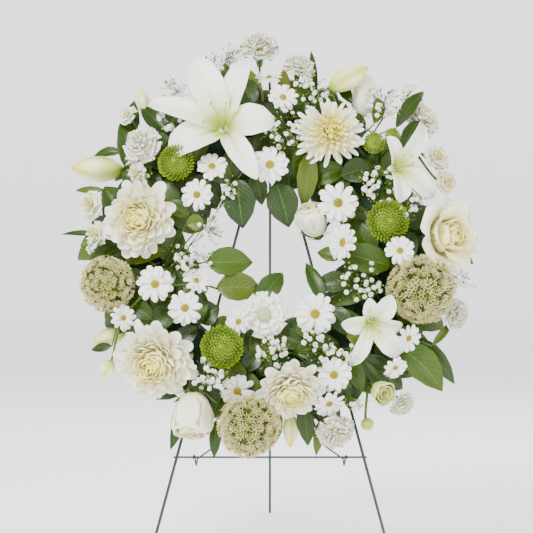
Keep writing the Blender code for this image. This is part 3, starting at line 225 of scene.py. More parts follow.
def fan(size, angles, start, length, lifts, half_width, shape, paint, stations=9, thick=0.5, sway=0.0,
        roll=0.0, **blade):
    """Petals round Z, each at its angle. Start, length and half-width are shares of a size. A petal starts
    at a radius and a height and runs for its length at a lift that goes through the given degrees, so its
    radius grows by cos(lift) and its height by sin(lift) with each step. Its face is its upper side. It may
    sway sideways and roll about its own spine as it goes."""
    forms = len(angles)
    each = partial(np.broadcast_to, shape=forms)
    along = np.sin(np.linspace(0, 1, stations) * np.pi / 2) ** 1.4
    controls = np.stack([each(lift) for lift in lifts], axis=1)
    last = len(lifts) - 1
    hats = np.maximum(0, 1 - np.abs(along[:, None] * last - np.arange(last + 1)))
    lift = np.radians(controls @ hats.T)
    length = size * each(length)
    steps = np.diff(along) * length[:, None]
    middle = (lift[:, 1:] + lift[:, :-1]) / 2
    nothing = np.zeros((forms, 1))
    radius, height = (
        size * each(first)[:, None] + np.cumsum(np.hstack([nothing, steps * part]), axis=1)
        for first, part in zip(start, (np.cos(middle), np.sin(middle))))
    drift = (sway * length)[:, None] * along ** 2
    cos, sin = np.cos(angles)[:, None], np.sin(angles)[:, None]
    outward = np.stack([cos, sin, nothing], axis=2)
    aside = np.stack([-sin, cos, nothing], axis=2)
    upward = np.array([0.0, 0.0, 1.0])
    spine = outward * radius[..., None] + aside * drift[..., None] + upward * height[..., None]
    face = upward * np.cos(lift)[..., None] - outward * np.sin(lift)[..., None]
    turn = (each(roll)[:, None] * along)[..., None]
    side = aside * np.cos(turn) + face * np.sin(turn)
    face = face * np.cos(turn) - aside * np.sin(turn)
    widths = size * each(half_width)[:, None] * outline(shape, along)
    return blades(spine, side, face, widths, along, thick, paint, **blade)


def turned(size, profile, sides, paint, tone=0.0, lobes=0, depth=0.0):
    """Profile of (radius, height) in shares of a size, from pole to pole, turned round Z. Lobes make the
    radius swell by 1 + depth * cos(lobes * angle)."""
    profile = size * np.asarray(profile, float)
    angles = 2 * np.pi * np.arange(sides) / sides
    rings = profile[1:-1]
    flat = rings[:, :1] * (1 + depth * np.cos(lobes * angles))
    height = np.repeat(rings[:, 1:], sides, axis=1)
    grid = np.stack([flat * np.cos(angles), flat * np.sin(angles), height], axis=2)
    poles = np.array([[0, 0, profile[0, 1]], [0, 0, profile[-1, 1]]])
    along = np.linspace(0, 1, len(profile))[1:-1]
    marks = marks_for(1, along, np.cos((lobes or 1) * angles), tone)
    return skins(grid[None], poles[:1], poles[1:], marks, paint)


def ball(radius, squash, sides, paint, tone=0.0):
    """Ball round Z, squashed in height."""
    angles = np.linspace(0, np.pi, sides // 2 + 2)
    return turned(radius, np.stack([np.sin(angles), -squash * np.cos(angles)], axis=1), sides, paint, tone)


def tubes(paths, radii, paint, sides=6, tone=0.0):
    """Round tubes along paths: each ring is square to its path, and the ends are closed."""
    paths = np.asarray(paths, float)
    forms, stations = paths.shape[:2]
    ways = unit(np.gradient(paths, axis=1))
    side = unit(np.cross(ways, ODD_WAY))[:, :, None]
    other = np.cross(ways, side[:, :, 0])[:, :, None]
    angles = 2 * np.pi * np.arange(sides) / sides
    radii = np.broadcast_to(radii, (forms, stations))[:, :, None, None]
    circle = side * np.cos(angles)[:, None] + other * np.sin(angles)[:, None]
    grid = paths[:, :, None] + radii * circle
    marks = marks_for(forms, np.linspace(0, 1, stations), np.cos(angles), tone)
    return skins(grid, paths[:, 0], paths[:, -1], marks, paint)


def bent(starts, middles, ends, stations=7):
    """Paths from starts to ends that bend towards middles: (1 - s)^2, 2 s (1 - s) and s^2 share them out."""
    s = np.linspace(0, 1, stations)[:, None]
    starts, middles, ends = (np.atleast_2d(p)[:, None] for p in (starts, middles, ends))
    return (1 - s) ** 2 * starts + 2 * s * (1 - s) * middles + s ** 2 * ends


def spread(skin, spots, ways, turns=0.0, sizes=1.0, tones=None):
    """Copies of a skin, set at spots with their Z along ways."""
    spots = np.asarray(spots, float)
    count, size = len(spots), len(skin.points)
    turn = frames_for(np.asarray(ways, float), turns) * np.broadcast_to(sizes, count)[:, None, None]
    points = np.einsum("kij,nj->kni", turn, skin.points) + spots[:, None]
    offsets = (np.arange(count) * size)[:, None, None]
    marks = np.broadcast_to(skin.marks, (count, size, 3)).copy()
    if tones is not None:
        marks[:, :, 2] = np.asarray(tones)[:, None]
    quads, tris = (skin.quads + offsets).reshape(-1, 4), (skin.tris + offsets).reshape(-1, 3)
    return Skin(points.reshape(-1, 3), quads, tris, marks.reshape(-1, 3), skin.paint)


def hoop(profile, sides, paint):
    """Closed profile of (radius, height) carried round the leaning axis of the ring."""
    profile = np.asarray(profile, float)
    corners = len(profile)
    angles = (2 * np.pi * np.arange(sides) / sides)[:, None]
    u, v = profile[:, 0] * np.cos(angles), profile[:, 0] * np.sin(angles)
    points = np.stack(leaned(u, v, np.broadcast_to(profile[:, 1], u.shape)), axis=2).reshape(-1, 3)
    i, j = np.arange(sides)[:, None], np.arange(corners)[None]
    after, beyond = (i + 1) % sides * corners, (j + 1) % corners
    quads = np.stack([i * corners + j, i * corners + beyond, after + beyond, after + j], axis=2)
    quads = quads.reshape(-1, 4)
    corner = points[quads]
    volume = np.einsum("ij,ij->", corner[:, 0], np.cross(corner[:, 1], corner[:, 2]))
    volume += np.einsum("ij,ij->", corner[:, 0], np.cross(corner[:, 2], corner[:, 3]))
    quads = quads if volume > 0 else quads[:, ::-1]
    return Skin(points, quads, np.zeros((0, 3), int), np.zeros((len(points), 3)), paint)


# Blooms, each of a radius r, with random numbers to draw from. Each gives its skins, facing +Z

def evenly(count, draw, wobble=0.3, turn=0.0):
    """Angles round the circle, evenly spaced but for a wobble."""
    return turn + 2 * np.pi * (np.arange(count) + wobble * draw.uniform(-0.5, 0.5, count)) / count


def golden(count):
    """Shares from the outside in, and angles that turn by the golden angle, as florets on a head do."""
    return (np.arange(count) + 0.5) / count, GOLDEN_ANGLE * np.arange(count)


def around(reach, angles, height):
    """Points at a reach and a height, at angles round Z."""
    height = np.broadcast_to(height, len(angles))
    return np.stack([reach * np.cos(angles), reach * np.sin(angles), height], axis=1)


def studs(count, radius, height, size, paint, draw, low_tone, high_tone):
    """Small knobs over a dome of a radius and height. Their tone goes from its rim to its top."""
    share, angles = golden(count)
    reach = radius * np.sqrt(1 - share)
    spots = around(reach, angles, height * np.sqrt(1 - (reach / radius) ** 2 * 0.97))
    ways = unit(spots * (1, 1, (radius / height) ** 2 * 0.6) + (0, 0, 1e-3))
    knob = turned(size, [(0, -1), (0.8, -0.3), (0.6, 0.7), (0, 1.1)], 6, paint)
    tones = low_tone + (high_tone - low_tone) * share
    return spread(knob, spots, ways, angles, draw.uniform(0.8, 1.2, count), tones)


def globe(share, angles, reach):
    """Ways out from the middle of a ball, from its top down to a reach below it."""
    height = 1 - reach * share
    return around(np.sqrt(1 - height ** 2), angles, height)


def heart_of(radius, height):
    """Ball of closed cream petals at the heart of a bloom."""
    return spread(ball(radius, 0.95, 14, "cream_petal", 1.0), [(0, 0, height)], [(0, 0, 1)])


def green_cup(radius):
    """Green cup behind a bloom, with its scales."""
    profile = [(0, -1), (0.3, -0.9), (0.8, -0.35), (1, 0), (0, 0.05 / radius)]
    return turned(radius, profile, 14, "stem", 0.0, 7, 0.06)


def calyx(r, draw, profile, sides, wobble, sepals, lobes=0, depth=0.0):
    """Green cup of a turned profile, with five sepals, of (start, length, lifts, half-width)."""
    cup = turned(r, profile, sides, "stem", 0.0, lobes, depth)
    return [cup, fan(r, evenly(5, draw, wobble), *sepals, "star", "stem")]


def daisy(r, draw):
    """Spray daisy: two rows of spoon-shaped petals, a domed disc of tiny florets and a green cup behind."""
    disc_tone = draw.uniform(0.0, 0.36)
    parts = []
    for count, lift, reach, turn in ((11, 2, 0.86, 0.0), (10, 14, 0.78, 0.28)):
        parts.append(fan(
            r, evenly(count, draw, 0.5, turn), (0.14, 0.03), reach * draw.uniform(0.9, 1.0, count),
            (lift + 14, lift + draw.normal(0, 4, count), lift - 18 + draw.normal(0, 10, count)),
            0.17 * draw.uniform(0.88, 1.1, count), "spoon", "white_petal", roll=draw.normal(0, 0.18, count),
            sway=draw.normal(0, 0.05, count), cup=0.18, groove=0.1, thick=0.45,
            tone=draw.uniform(0, 0.25, count)))
    disc = [(0, -0.02), (0.21, -0.02), (0.23, 0.06), (0.17, 0.12), (0.09, 0.145), (0, 0.15)]
    cup = [(0, -0.3), (0.07, -0.28), (0.2, -0.1), (0.24, 0), (0, 0.01 / r)]
    florets = studs(60, 0.225 * r, 0.15 * r, 0.024 * r, "daisy_disc", draw, disc_tone, disc_tone + 0.3)
    return parts + [turned(r, disc, 16, "daisy_disc", disc_tone), florets, turned(r, cup, 10, "stem")]


def shaggy_mum(r, draw, count=140):
    """Large chrysanthemum: a spiral of channelled petals, flat at the rim, then upright and creamier at the
    heart."""
    share, angles = golden(count)
    lift = -6 + 82 * share ** 0.75
    petals = fan(
        r, angles, (0.3 * (1 - share) + 0.02, 0.34 * share - 0.04),
        (0.78 - 0.4 * share) * draw.uniform(0.86, 1.05, count),
        (lift + 20, lift + 4, lift + 18 + 60 * share + draw.normal(0, 14, count)), 0.19 - 0.08 * share,
        "oval", "cream_petal", sway=draw.normal(0, 0.09, count), roll=draw.normal(0, 0.35, count), cup=0.36,
        groove=0.08, thick=0.4, frill=0.06, waves=2.0,
        tone=np.clip(share ** 1.1 * 1.1 + draw.uniform(-0.08, 0.08, count), 0, 1))
    return [petals, heart_of(0.3 * r, 0.2 * r), green_cup(0.3 * r)]


def spider_mum(r, draw, count=185):
    """Spider chrysanthemum: long narrow petals that hook at their tips round a tight heart."""
    share, angles = golden(count)
    lift = -4 + 84 * share ** 0.9
    petals = fan(
        r, angles, (0.22 * (1 - share) + 0.02, 0.26 * share),
        (0.84 - 0.42 * share) * draw.uniform(0.86, 1.04, count),
        (lift + 8, lift, lift + 10 + draw.normal(0, 10, count),
         lift + 50 * share + draw.normal(0, 22, count)),
        0.068 * (1.1 - 0.4 * share), "quill", "cream_petal", sway=draw.normal(0, 0.1, count),
        roll=draw.normal(0, 0.3, count), cup=0.5, thick=0.4,
        tone=np.clip(share * 1.15 + draw.uniform(-0.05, 0.1, count), 0, 1))
    return [petals, heart_of(0.26 * r, 0.16 * r), green_cup(0.26 * r)]


def scabiosa(r, draw):
    """Scabiosa: ruffled outer petals round a pincushion of small florets, with pale pins."""
    parts = []
    for count, lift, length, turn in ((9, 0, 0.74, 0.0), (9, 16, 0.6, 0.35), (8, 34, 0.42, 0.1)):
        parts.append(fan(
            r, evenly(count, draw, 0.3, turn), (0.24, 0.02), length * draw.uniform(0.92, 1.02, count),
            (lift + 14, lift, lift - 10), 0.27 * length / 0.74, "fan", "white_petal", sides=16, frill=0.3,
            waves=2.6, phase=draw.uniform(0, ANY_TURN, count), ragged=0.22, thick=0.4,
            tone=draw.uniform(0, 0.2, count)))
    cushion = [(0, 0), (0.28, 0.02), (0.27, 0.16), (0.15, 0.29), (0, 0.33)]
    pins = studs(70, 0.29 * r, 0.33 * r, 0.034 * r, "pincushion", draw, 0.2, 0.8)
    return parts + [turned(r, cushion, 14, "pincushion"), pins, green_cup(0.24 * r)]


def ruffled(r, draw, rows, heart):
    """Ruffled bloom: rows of petals as (count, start radius, start height, length, low lift, high lift, half
    width), all but the count and the lifts as shares of its radius."""
    parts = []
    for number, (count, radius, height, length, low, high, width) in enumerate(rows):
        parts.append(fan(
            r, evenly(count, draw, 0.5, number * 0.7), (radius, height),
            length * draw.uniform(0.9, 1.0, count),
            (low, (low + high) / 2 + draw.normal(0, 4, count), high + draw.normal(0, 9, count)), width, "fan",
            "cream_petal", stations=8, sides=26, frill=draw.uniform(0.22, 0.38, count), waves=4.6,
            phase=draw.uniform(0, ANY_TURN, count), ragged=0.26, roll=draw.normal(0, 0.25, count), thick=0.4,
            tone=np.clip(heart * number / len(rows) + draw.uniform(0, 0.15, count), 0, 1)))
    return parts


def carnation(r, draw):
    """Carnation: ruffled petals in six rows, over a long green cup with five teeth."""
    rows = ((9, 0.1, -0.06, 0.98, 14, -16, 0.38), (9, 0.09, 0, 0.94, 30, 2, 0.37),
            (9, 0.08, 0.03, 0.88, 46, 20, 0.34), (8, 0.06, 0.05, 0.8, 60, 40, 0.31),
            (7, 0.05, 0.07, 0.72, 74, 60, 0.28), (5, 0.03, 0.1, 0.64, 88, 84, 0.22))
    cup = [(0, -0.95), (0.14, -0.92), (0.2, -0.6), (0.22, -0.2), (0.2, 0.02), (0, 0.04)]
    sepals = ((0.19, -0.2), 0.34, (80, 60, 30), 0.1)
    return ruffled(r, draw, rows, 0.3) + calyx(r, draw, cup, 15, 0.0, sepals, 5, 0.06)


def stock(r, draw):
    """Floret of a stock: loose ruffled petals in four rows, creamier at the heart."""
    rows = ((7, 0.1, -0.04, 1.05, 12, -12, 0.46), (7, 0.08, 0, 0.9, 36, 12, 0.42),
            (6, 0.06, 0.05, 0.72, 60, 44, 0.34), (4, 0.03, 0.08, 0.56, 86, 80, 0.24))
    return ruffled(r, draw, rows, 0.9) + [green_cup(0.2 * r)]


def rose(r, draw, closed=False):
    """Rose: broad petals that cup round each other, the outer ones rolling back at their rims. A closed one
    lacks those, and its petals lean in over its heart."""
    parts = []
    outer = ((5, 0.2, -0.5, 1.5, (-6, 46, 70, 26, -50), 0.72, 0.34),
             (5, 0.17, -0.46, 1.4, (6, 60, 82, 56, -8), 0.66, 0.42))
    inner = ((5, 0.15, -0.46, 1.36, (14, 66, 92, 88, 60 + 40 * closed), 0.62, 0.55),
             (4, 0.12, -0.4, 1.28, (30, 78, 96, 96, 88 + 14 * closed), 0.56, 0.6),
             (4, 0.09, -0.36, 1.16, (44, 84, 94, 96, 92), 0.46, 0.7),
             (3, 0.06, -0.3, 1.08, (60, 88, 92, 94, 92), 0.32, 0.8))
    rows = inner if closed else outer + inner
    for number, (count, radius, height, length, lifts, width, cup) in enumerate(rows):
        parts.append(fan(
            r, evenly(count, draw, 0.25, number * 0.63), (radius, height),
            length * draw.uniform(0.95, 1.0, count), lifts, width, "broad", "cream_petal", stations=11,
            sides=14, cup=cup, frill=0.05, waves=2,
            phase=draw.uniform(0, ANY_TURN, count), thick=0.45,
            tone=np.clip(0.25 + 0.12 * number + draw.uniform(0, 0.1, count), 0, 1)))
    cup = [(0, -0.7), (0.12, -0.68), (0.2, -0.56), (0.1, -0.4), (0, -0.4)]
    return parts + calyx(r, draw, cup, 12, 0.2, ((0.14, -0.56), 0.62, (10, 50, 20), 0.11))


def lily(r, draw, angles, reaches):
    """Lily: three broad and three narrower tepals that flare from a throat and curl back, at these angles and
    with these reaches, with six stamens and a pistil."""
    broad = np.array([1.0, 0.72] * 3)
    tepals = fan(
        r, angles, (0.05, -0.34 + 0.03 * broad), 1.28 * reaches,
        (66, 44, 14 + draw.normal(0, 5, 6), -8 + draw.normal(0, 8, 6), -46 + draw.normal(0, 10, 6)),
        0.3 * broad, "tepal", "lily_tepal", stations=24, sides=24, cup=0.26, groove=0.26, frill=0.2,
        waves=4.1, phase=draw.uniform(0, ANY_TURN, 6), sway=draw.normal(0, 0.04, 6),
        roll=draw.normal(0, 0.2, 6), thick=0.7, tone=draw.uniform(0, 0.2, 6))
    turn = evenly(6, draw, 0.3, 0.5)
    feet = around(0.02 * r, turn, -0.3 * r)
    tips = around(0.3 * r, turn, draw.uniform(0.24, 0.38, 6) * r)
    filaments = tubes(bent(feet, feet * (2, 2, 0) + (0, 0, 0.1 * r), tips), 0.013 * r, "filament", 6)
    anther = [(0, -0.045), (0.012, -0.035), (0.017, 0), (0.012, 0.035), (0, 0.045)]
    anther_ways = np.cross(tips, (0, 0, 1)) + (0, 0, 0.3 * r)
    anthers = spread(turned(r, anther, 8, "anther", 0.0, 2, 0.2), tips, anther_ways)
    top = np.array([0.05, 0.06, 0.46]) * r
    pistil = tubes(bent([0, 0, -0.3 * r], [0, 0, 0.2 * r], top), 0.02 * r, "filament", 8, 0.6)
    knob = turned(r, [(0, -0.03), (0.05, -0.01), (0.05, 0.02), (0, 0.03)], 12, "anther", 0.6, 3, 0.3)
    tube = [(0, -0.52), (0.05, -0.5), (0.085, -0.38), (0.1, -0.28), (0, -0.26)]
    return [tepals, filaments, anthers, pistil, spread(knob, [top], [(0.2, 0.2, 1)]),
            turned(r, tube, 12, "lily_tepal", 0.9)]


def allium(r, draw, count=330):
    """Allium: a ball of small six-petalled stars on stalks, each with a green ovary, round a green heart."""
    ways = globe(*golden(count), 1.62)
    ways = unit(ways + draw.normal(0, 0.07, ways.shape))
    spots = ways * (r * draw.uniform(0.7, 0.86, count))[:, None]
    turns = draw.uniform(0, ANY_TURN, count)
    tones = draw.uniform(0, 1, count)
    star = fan(r, evenly(6, draw, 0.4), (0.01, 0), 0.2 * draw.uniform(0.8, 1.1, 6),
               (72, 46, 30 + draw.normal(0, 16, 6)), 0.017, "star", "allium_petal", stations=4, sides=4,
               thick=0.35, cup=0.2)
    ovary = turned(r, [(0, -0.01), (0.024, 0.01), (0.024, 0.04), (0, 0.05)], 5, "stem", 0.4)
    whiskers = fan(r, evenly(6, draw, 0.2, 0.5), (0.02, 0.02), 0.15, (80, 64, 54), 0.008, "strap",
                   "allium_petal", stations=4, sides=4, thick=0.3)
    stalks = tubes(bent(spots * 0.45, spots * 0.7, spots, 3), 0.01 * r, "stem", 4)
    return [spread(star, spots, ways, turns, 1.0, tones), spread(ovary, spots, ways, turns),
            spread(whiskers, spots, ways, turns, 1.0, tones), stalks,
            ball(0.58 * r, 0.98, 16, "allium_heart")]


def green_mum(r, draw, count=190, height=0.62):
    """Button chrysanthemum: short blunt petals that curve inwards all over a flattened dome."""
    share, angles = golden(count)
    polar = np.pi / 2 * (1.18 - 1.16 * share)
    core = 0.66
    lift = 90 - np.degrees(polar)
    petals = fan(
        r, angles, (core * np.sin(polar), core * height * np.cos(polar)),
        0.34 * draw.uniform(0.9, 1.05, count),
        (lift - 10, lift + 22, lift + 64 + draw.normal(0, 8, count)), 0.062 * (1.05 - 0.35 * share), "strap",
        "green_petal", stations=7, sides=6, cup=0.5, thick=0.35,
        tone=np.clip(share + draw.uniform(-0.1, 0.1, count), 0, 1))
    return [petals, ball(core * 1.02 * r, height, 16, "green_petal", 0.7), green_cup(0.4 * r)]


def pod(r, _draw):
    """Green seed head with rows of small knobs."""
    share, angles = golden(60)
    knob = turned(r, [(0, -0.14), (0.13, -0.03), (0.08, 0.12), (0, 0.16)], 7, "pod")
    ways = globe(share, angles, 1.8)
    return [spread(knob, ways * 0.86 * r, ways, angles, 1.0, share), ball(0.84 * r, 0.95, 14, "pod")]


def lisianthus(r, draw):
    """Half-open lisianthus: broad petals that overlap in a cup, greener outside, over a slim green cup."""
    parts = []
    for number, (count, length, width) in enumerate(((5, 1.5, 0.56), (4, 1.35, 0.5), (3, 1.2, 0.4))):
        parts.append(fan(
            r, evenly(count, draw, 0.3, number * 0.6), (0.24 - 0.07 * number, -0.62), length,
            (16 + 22 * number, 62 + 8 * number, 86, 62 + 10 * number), width, "broad", "pale_green_petal",
            stations=11, sides=14, cup=0.5, frill=0.14, waves=3, phase=draw.uniform(0, ANY_TURN, count),
            thick=0.45, tone=0.3 + 0.2 * number))
    cup = [(0, -1.1), (0.1, -1.06), (0.2, -0.8), (0.26, -0.6), (0, -0.56)]
    return parts + calyx(r, draw, cup, 12, 0.2, ((0.2, -0.8), 0.9, (70, 80, 50), 0.06))


KINDS = {
    "daisy": daisy, "shaggy_mum": shaggy_mum, "spider_mum": spider_mum, "scabiosa": scabiosa,
    "carnation": carnation, "stock": stock, "rose": rose, "closed_rose": partial(rose, closed=True),
    "lily": lily, "allium": allium, "green_mum": green_mum, "pod": pod, "lisianthus": lisianthus,
    "button": partial(green_mum, count=110, height=0.6),
}

# What is where. For each bloom or spray: its foot in the foam, then for each head its kind, pixel, size, yaw,
# pitch, push from the dome and the bend of its stem. A spray's later stems fork from the bend of its first
BLOOMS = {
    "mum_left": ((-154, -30, 44), ("shaggy_mum", 142, 219, 108, -14, 0, 0, (-164, -73, 57))),
    "mum_low_left": ((-132, -71, -126), ("shaggy_mum", 158, 359, 112, -14, -16, 0, (-140, -114, -123))),
    "mum_bottom": ((28, -82, -165), ("shaggy_mum", 290, 386, 92, 4, -34, 0, (28, -129, -151))),
    "mum_top": ((86, 0, 166), ("spider_mum", 329, 134, 98, 4, 10, 0, (82, -45, 169))),
    "allium_left": ((-186, -48, -36), ("allium", 107, 284, 78, -34, -2, 0, (-199, -85, -30))),
    "allium_bottom": ((-20, -83, -176), ("allium", 249, 426, 86, -4, -30, 6, (-23, -123, -202))),
    "allium_right": ((185, -49, -41), ("allium", 422, 289, 98, 24, -4, 0, (192, -81, -35))),
    "rose_right": ((192, -35, 17), ("rose", 444, 236, 74, 40, 6, 0, (213, -64, 25))),
    "rose_low": ((-83, -79, -159), ("closed_rose", 193, 409, 96, -14, -62, 0, (-94, -118, -174))),
    "green_mum_right": ((155, -31, 40), ("green_mum", 388, 221, 62, 6, 2, 0, (160, -80, 53))),
    "green_mum_low": ((-62, -74, -131), ("green_mum", 222, 347, 62, -4, 4, 0, (-60, -121, -115))),
    "daisies_top": (
        (3, 10, 195), ("daisy", 269, 78, 40, -12, 55, 0, (3, -23, 239)),
        ("daisy", 283, 98, 45, 10, 28, 0, (18, -36, 216))),
    "carnations_top": (
        (-8, 10, 195), ("carnation", 259, 50, 54, -4, 62, 0, (-12, 50, 268)),
        ("carnation", 298, 68, 42, 12, 58, 0, (38, 1, 243))),
    "stocks_left": (
        (-186, -25, 55), ("stock", 92, 205, 34, -42, 6, 0, (-226, -57, 74)),
        ("stock", 97, 234, 30, -40, -6, 0, (-219, -75, 38))),
    "stock_nw": (
        (-155, -9, 119), ("carnation", 143, 146, 52, -30, 22, 0, (-154, -36, 144)),
        ("stock", 128, 116, 26, -40, 30, 3, (-187, -13, 195)),
        ("stock", 137, 172, 24, -34, 0, 0, (-168, -62, 121))),
    "carnations_right": (
        (141, -5, 136), ("carnation", 421, 121, 50, 44, 34, -6, (196, 39, 178)),
        ("stock", 437, 158, 32, 30, 30, 0, (224, -27, 132)),
        ("stock", 445, 182, 30, 44, 8, 0, (229, -42, 106))),
    "carnation_se": ((181, -52, -53), ("carnation", 455, 314, 40, 50, -14, 3, (231, -76, -64))),
    "lisianthus_se": (
        (114, -74, -141), ("lisianthus", 381, 391, 38, 30, -20, 0, (135, -107, -162)),
        ("carnation", 402, 403, 34, 48, -34, 0, (163, -95, -176)),
        ("pod", 367, 424, 18, 20, -50, 0, (129, -112, -206)),
        ("carnation", 335, 430, 50, 18, -44, 0, (81, -110, -201))),
    "rose_inner": ((128, -19, 81), ("closed_rose", 314, 224, 74, -28, 52, 0, (82, -42, 59))),
    "green_mum_left": ((-117, -13, 113), ("green_mum", 176, 163, 54, -10, 10, 0, (-122, -62, 130))),
    "green_buttons": (
        (137, -4, 139), ("button", 374, 143, 33, 0, 8, 0, (144, -53, 159)),
        ("button", 392, 136, 26, 14, 20, 0, (167, -45, 167))),
    "scabiosa": ((-8, -73, -134), ("scabiosa", 264, 315, 64, 0, 4, 0, (-5, -93, -74))),
    "daisies_nw": (
        (-90, -8, 124), ("daisy", 212, 167, 46, 4, 30, 0, (-77, -59, 119)),
        ("daisy", 197, 195, 47, -4, 6, 0, (-95, -63, 88))),
    "daisies_east": (
        (125, -18, 86), ("daisy", 338, 203, 60, 2, 6, 0, (94, -63, 77)),
        ("daisy", 343, 243, 56, -50, 8, 24, (111, -105, 22))),
    "daisy_east_low": ((181, -44, -12), ("daisy", 399, 251, 44, 6, 12, 15, (174, -105, 10))),
    "daisies_west": (
        (-149, -52, -42), ("daisy", 155, 284, 54, 8, 2, 0, (-153, -101, -31)),
        ("daisy", 185, 308, 50, 2, 2, 0, (-111, -106, -63)),
        ("daisy", 196, 281, 40, 20, 30, 0, (-102, -92, -35)),
        ("daisy", 123, 318, 38, 24, 6, 0, (-200, -106, -78))),
    "daisies_south": (
        (-42, -71, -128), ("daisy", 239, 322, 40, -24, 12, -3, (-32, -103, -85)),
        ("daisy", 237, 392, 50, 2, -6, -24, (-41, -108, -171))),
    "daisy_inner": ((81, -67, -111), ("daisy", 315, 314, 60, 2, 4, 0, (62, -102, -72))),
    "daisies_bottom": (
        (80, -78, -149), ("daisy", 334, 375, 52, 6, -4, -6, (85, -122, -149)),
        ("daisy", 329, 403, 46, 20, -38, 0, (76, -133, -177))),
    "daisies_se": (
        (154, -65, -102), ("daisy", 408, 338, 42, 34, -16, 0, (177, -112, -98)),
        ("daisy", 395, 367, 36, 20, -30, 0, (163, -117, -132))),
    "daisy_north": ((-16, -1, 152), ("daisy", 270, 165, 56, -2, 10, 0, (3, -50, 128))),
    "lily_top": ((-62, 3, 176), ("lily", 222, 124, 158, -4, 14, 6, (-59, -21, 175))),
    "lily_right": ((170, -15, 95), ("lily", 399, 168, 104, 34, 4, 21, (198, -67, 123))),
    "lily_low": ((126, -62, -83), ("lily", 372, 324, 100, 12, -26, 12, (132, -109, -76))),
}

# For each leafy stem: its hub, its leaves, its buds, and its leaves over the foam's shoulders
FOLIAGE = {
    "leaves_nw": (
        (-145, -33, 138),
        [(124, 166, 134, 99, 34, 62, 44), (122, 152, 93, 156, 17, 54, 40),
         (168, 134, 141, 106, 30, 72, 52)],
        [(147, 118, 141, 88, 9, 56, -9)],
        [(123.9, False), (153.9, True), (133.9, True), (143.9, True, 4), (148.9, True, -4)],
    ),
    "leaves_inner_top": (
        (-4, -28, 160),
        [(238, 178, 243, 228, 50, 80, 66), (276, 182, 289, 227, 48, 82, 66),
         (309, 152, 303, 208, 32, 86, 66), (253, 172, 262, 205, 28, 74, 62),
         (254, 152, 268, 126, 24, 84, 84)],
        [],
        [(76.4, True), (106.4, False), (106.4, True)],
    ),
    "leaves_top": (
        (8, -18, 202),
        [(262, 112, 247, 66, 26, 70, 40), (316, 98, 311, 49, 12, 66, 36), (288, 104, 284, 68, 20, 66, 46),
         (232, 96, 224, 62, 22, 62, 40)],
        [],
        [(72.6, True, 4), (102.6, False, -4), (78.6, False, -4), (78.6, True, -4)],
    ),
    "leaves_ne": (
        (120, -28, 161),
        [(396, 128, 425, 90, 22, 66, 44), (374, 124, 377, 96, 20, 66, 50), (402, 152, 420, 118, 24, 74, 50),
         (352, 104, 337, 72, 20, 62, 40), (372, 168, 340, 176, 40, 84, 84)],
        [(329, 90, 368, 67, 15, 74), (362, 118, 366, 70, 18, 60, -12, 1.0)],
        [(36.3, False), (66.3, False), (66.3, True, 8), (46.3, True), (56.3, True, 4)],
    ),
    "leaves_inner_right": (
        (144, -72, -15),
        [(392, 266, 337, 249, 46, 98, 104), (352, 280, 314, 284, 34, 84, 78),
         (342, 258, 317, 252, 24, 78, 66), (324, 302, 306, 262, 24, 82, 70, 3),
         (440, 240, 474, 264, 22, 60, 40)],
        [],
        [(-27.5, False, -4), (2.5, True), (-17.5, True, -4), (-2.5, True, -4)],
    ),
    "leaves_se": (
        (156, -91, -92),
        [(398, 346, 443, 391, 50, 74, 54), (420, 338, 455, 384, 26, 60, 40),
         (372, 344, 346, 336, 34, 84, 88), (432, 346, 453, 320, 12, 66, 54, 9)],
        [],
        [(-50.4, False, 8), (-40.4, True), (-30.4, True, 4), (-44.4, False), (-44.4, True, 4)],
    ),
    "leaves_bottom": (
        (8, -110, -170),
        [(302, 404, 308, 446, 26, 70, 50), (322, 418, 316, 456, 16, 62, 46),
         (216, 420, 214, 458, 18, 62, 50), (180, 398, 170, 450, 20, 60, 44),
         (352, 384, 350, 410, 24, 70, 60), (262, 352, 240, 372, 28, 84, 80),
         (270, 356, 256, 378, 22, 80, 70, -3)],
        [(290, 412, 290, 448, 10, 60)],
        [(-72.6, False, -4), (-72.6, True), (-92.6, False, -4)],
    ),
    "leaves_west": (
        (-188, -73, -22),
        [(104, 190, 75, 190, 12, 58, 46), (104, 236, 60, 234, 10, 60, 40), (124, 262, 168, 251, 28, 82, 88),
         (112, 346, 91, 350, 14, 56, 44), (152, 320, 130, 300, 26, 84, 78),
         (176, 344, 198, 326, 28, 84, 84)],
        [(124, 169, 71, 167, 17, 56), (126, 330, 93, 342, 12, 58, -12), (112, 360, 102, 377, 9, 52, 27)],
        [(-183.3, False, 8), (-153.3, True), (-173.3, False), (-173.3, True, -4), (-158.3, True, -4)],
    ),
    "leaves_inner_left": (
        (-145, -72, -15),
        [(206, 262, 253, 262, 44, 84, 74), (216, 288, 262, 290, 44, 82, 76, -3),
         (190, 216, 166, 200, 26, 84, 84), (258, 302, 283, 272, 34, 84, 72, -6),
         (204, 222, 186, 226, 26, 84, 84, 18)],
        [],
        [(-182.6, False, 12)],
    ),
}

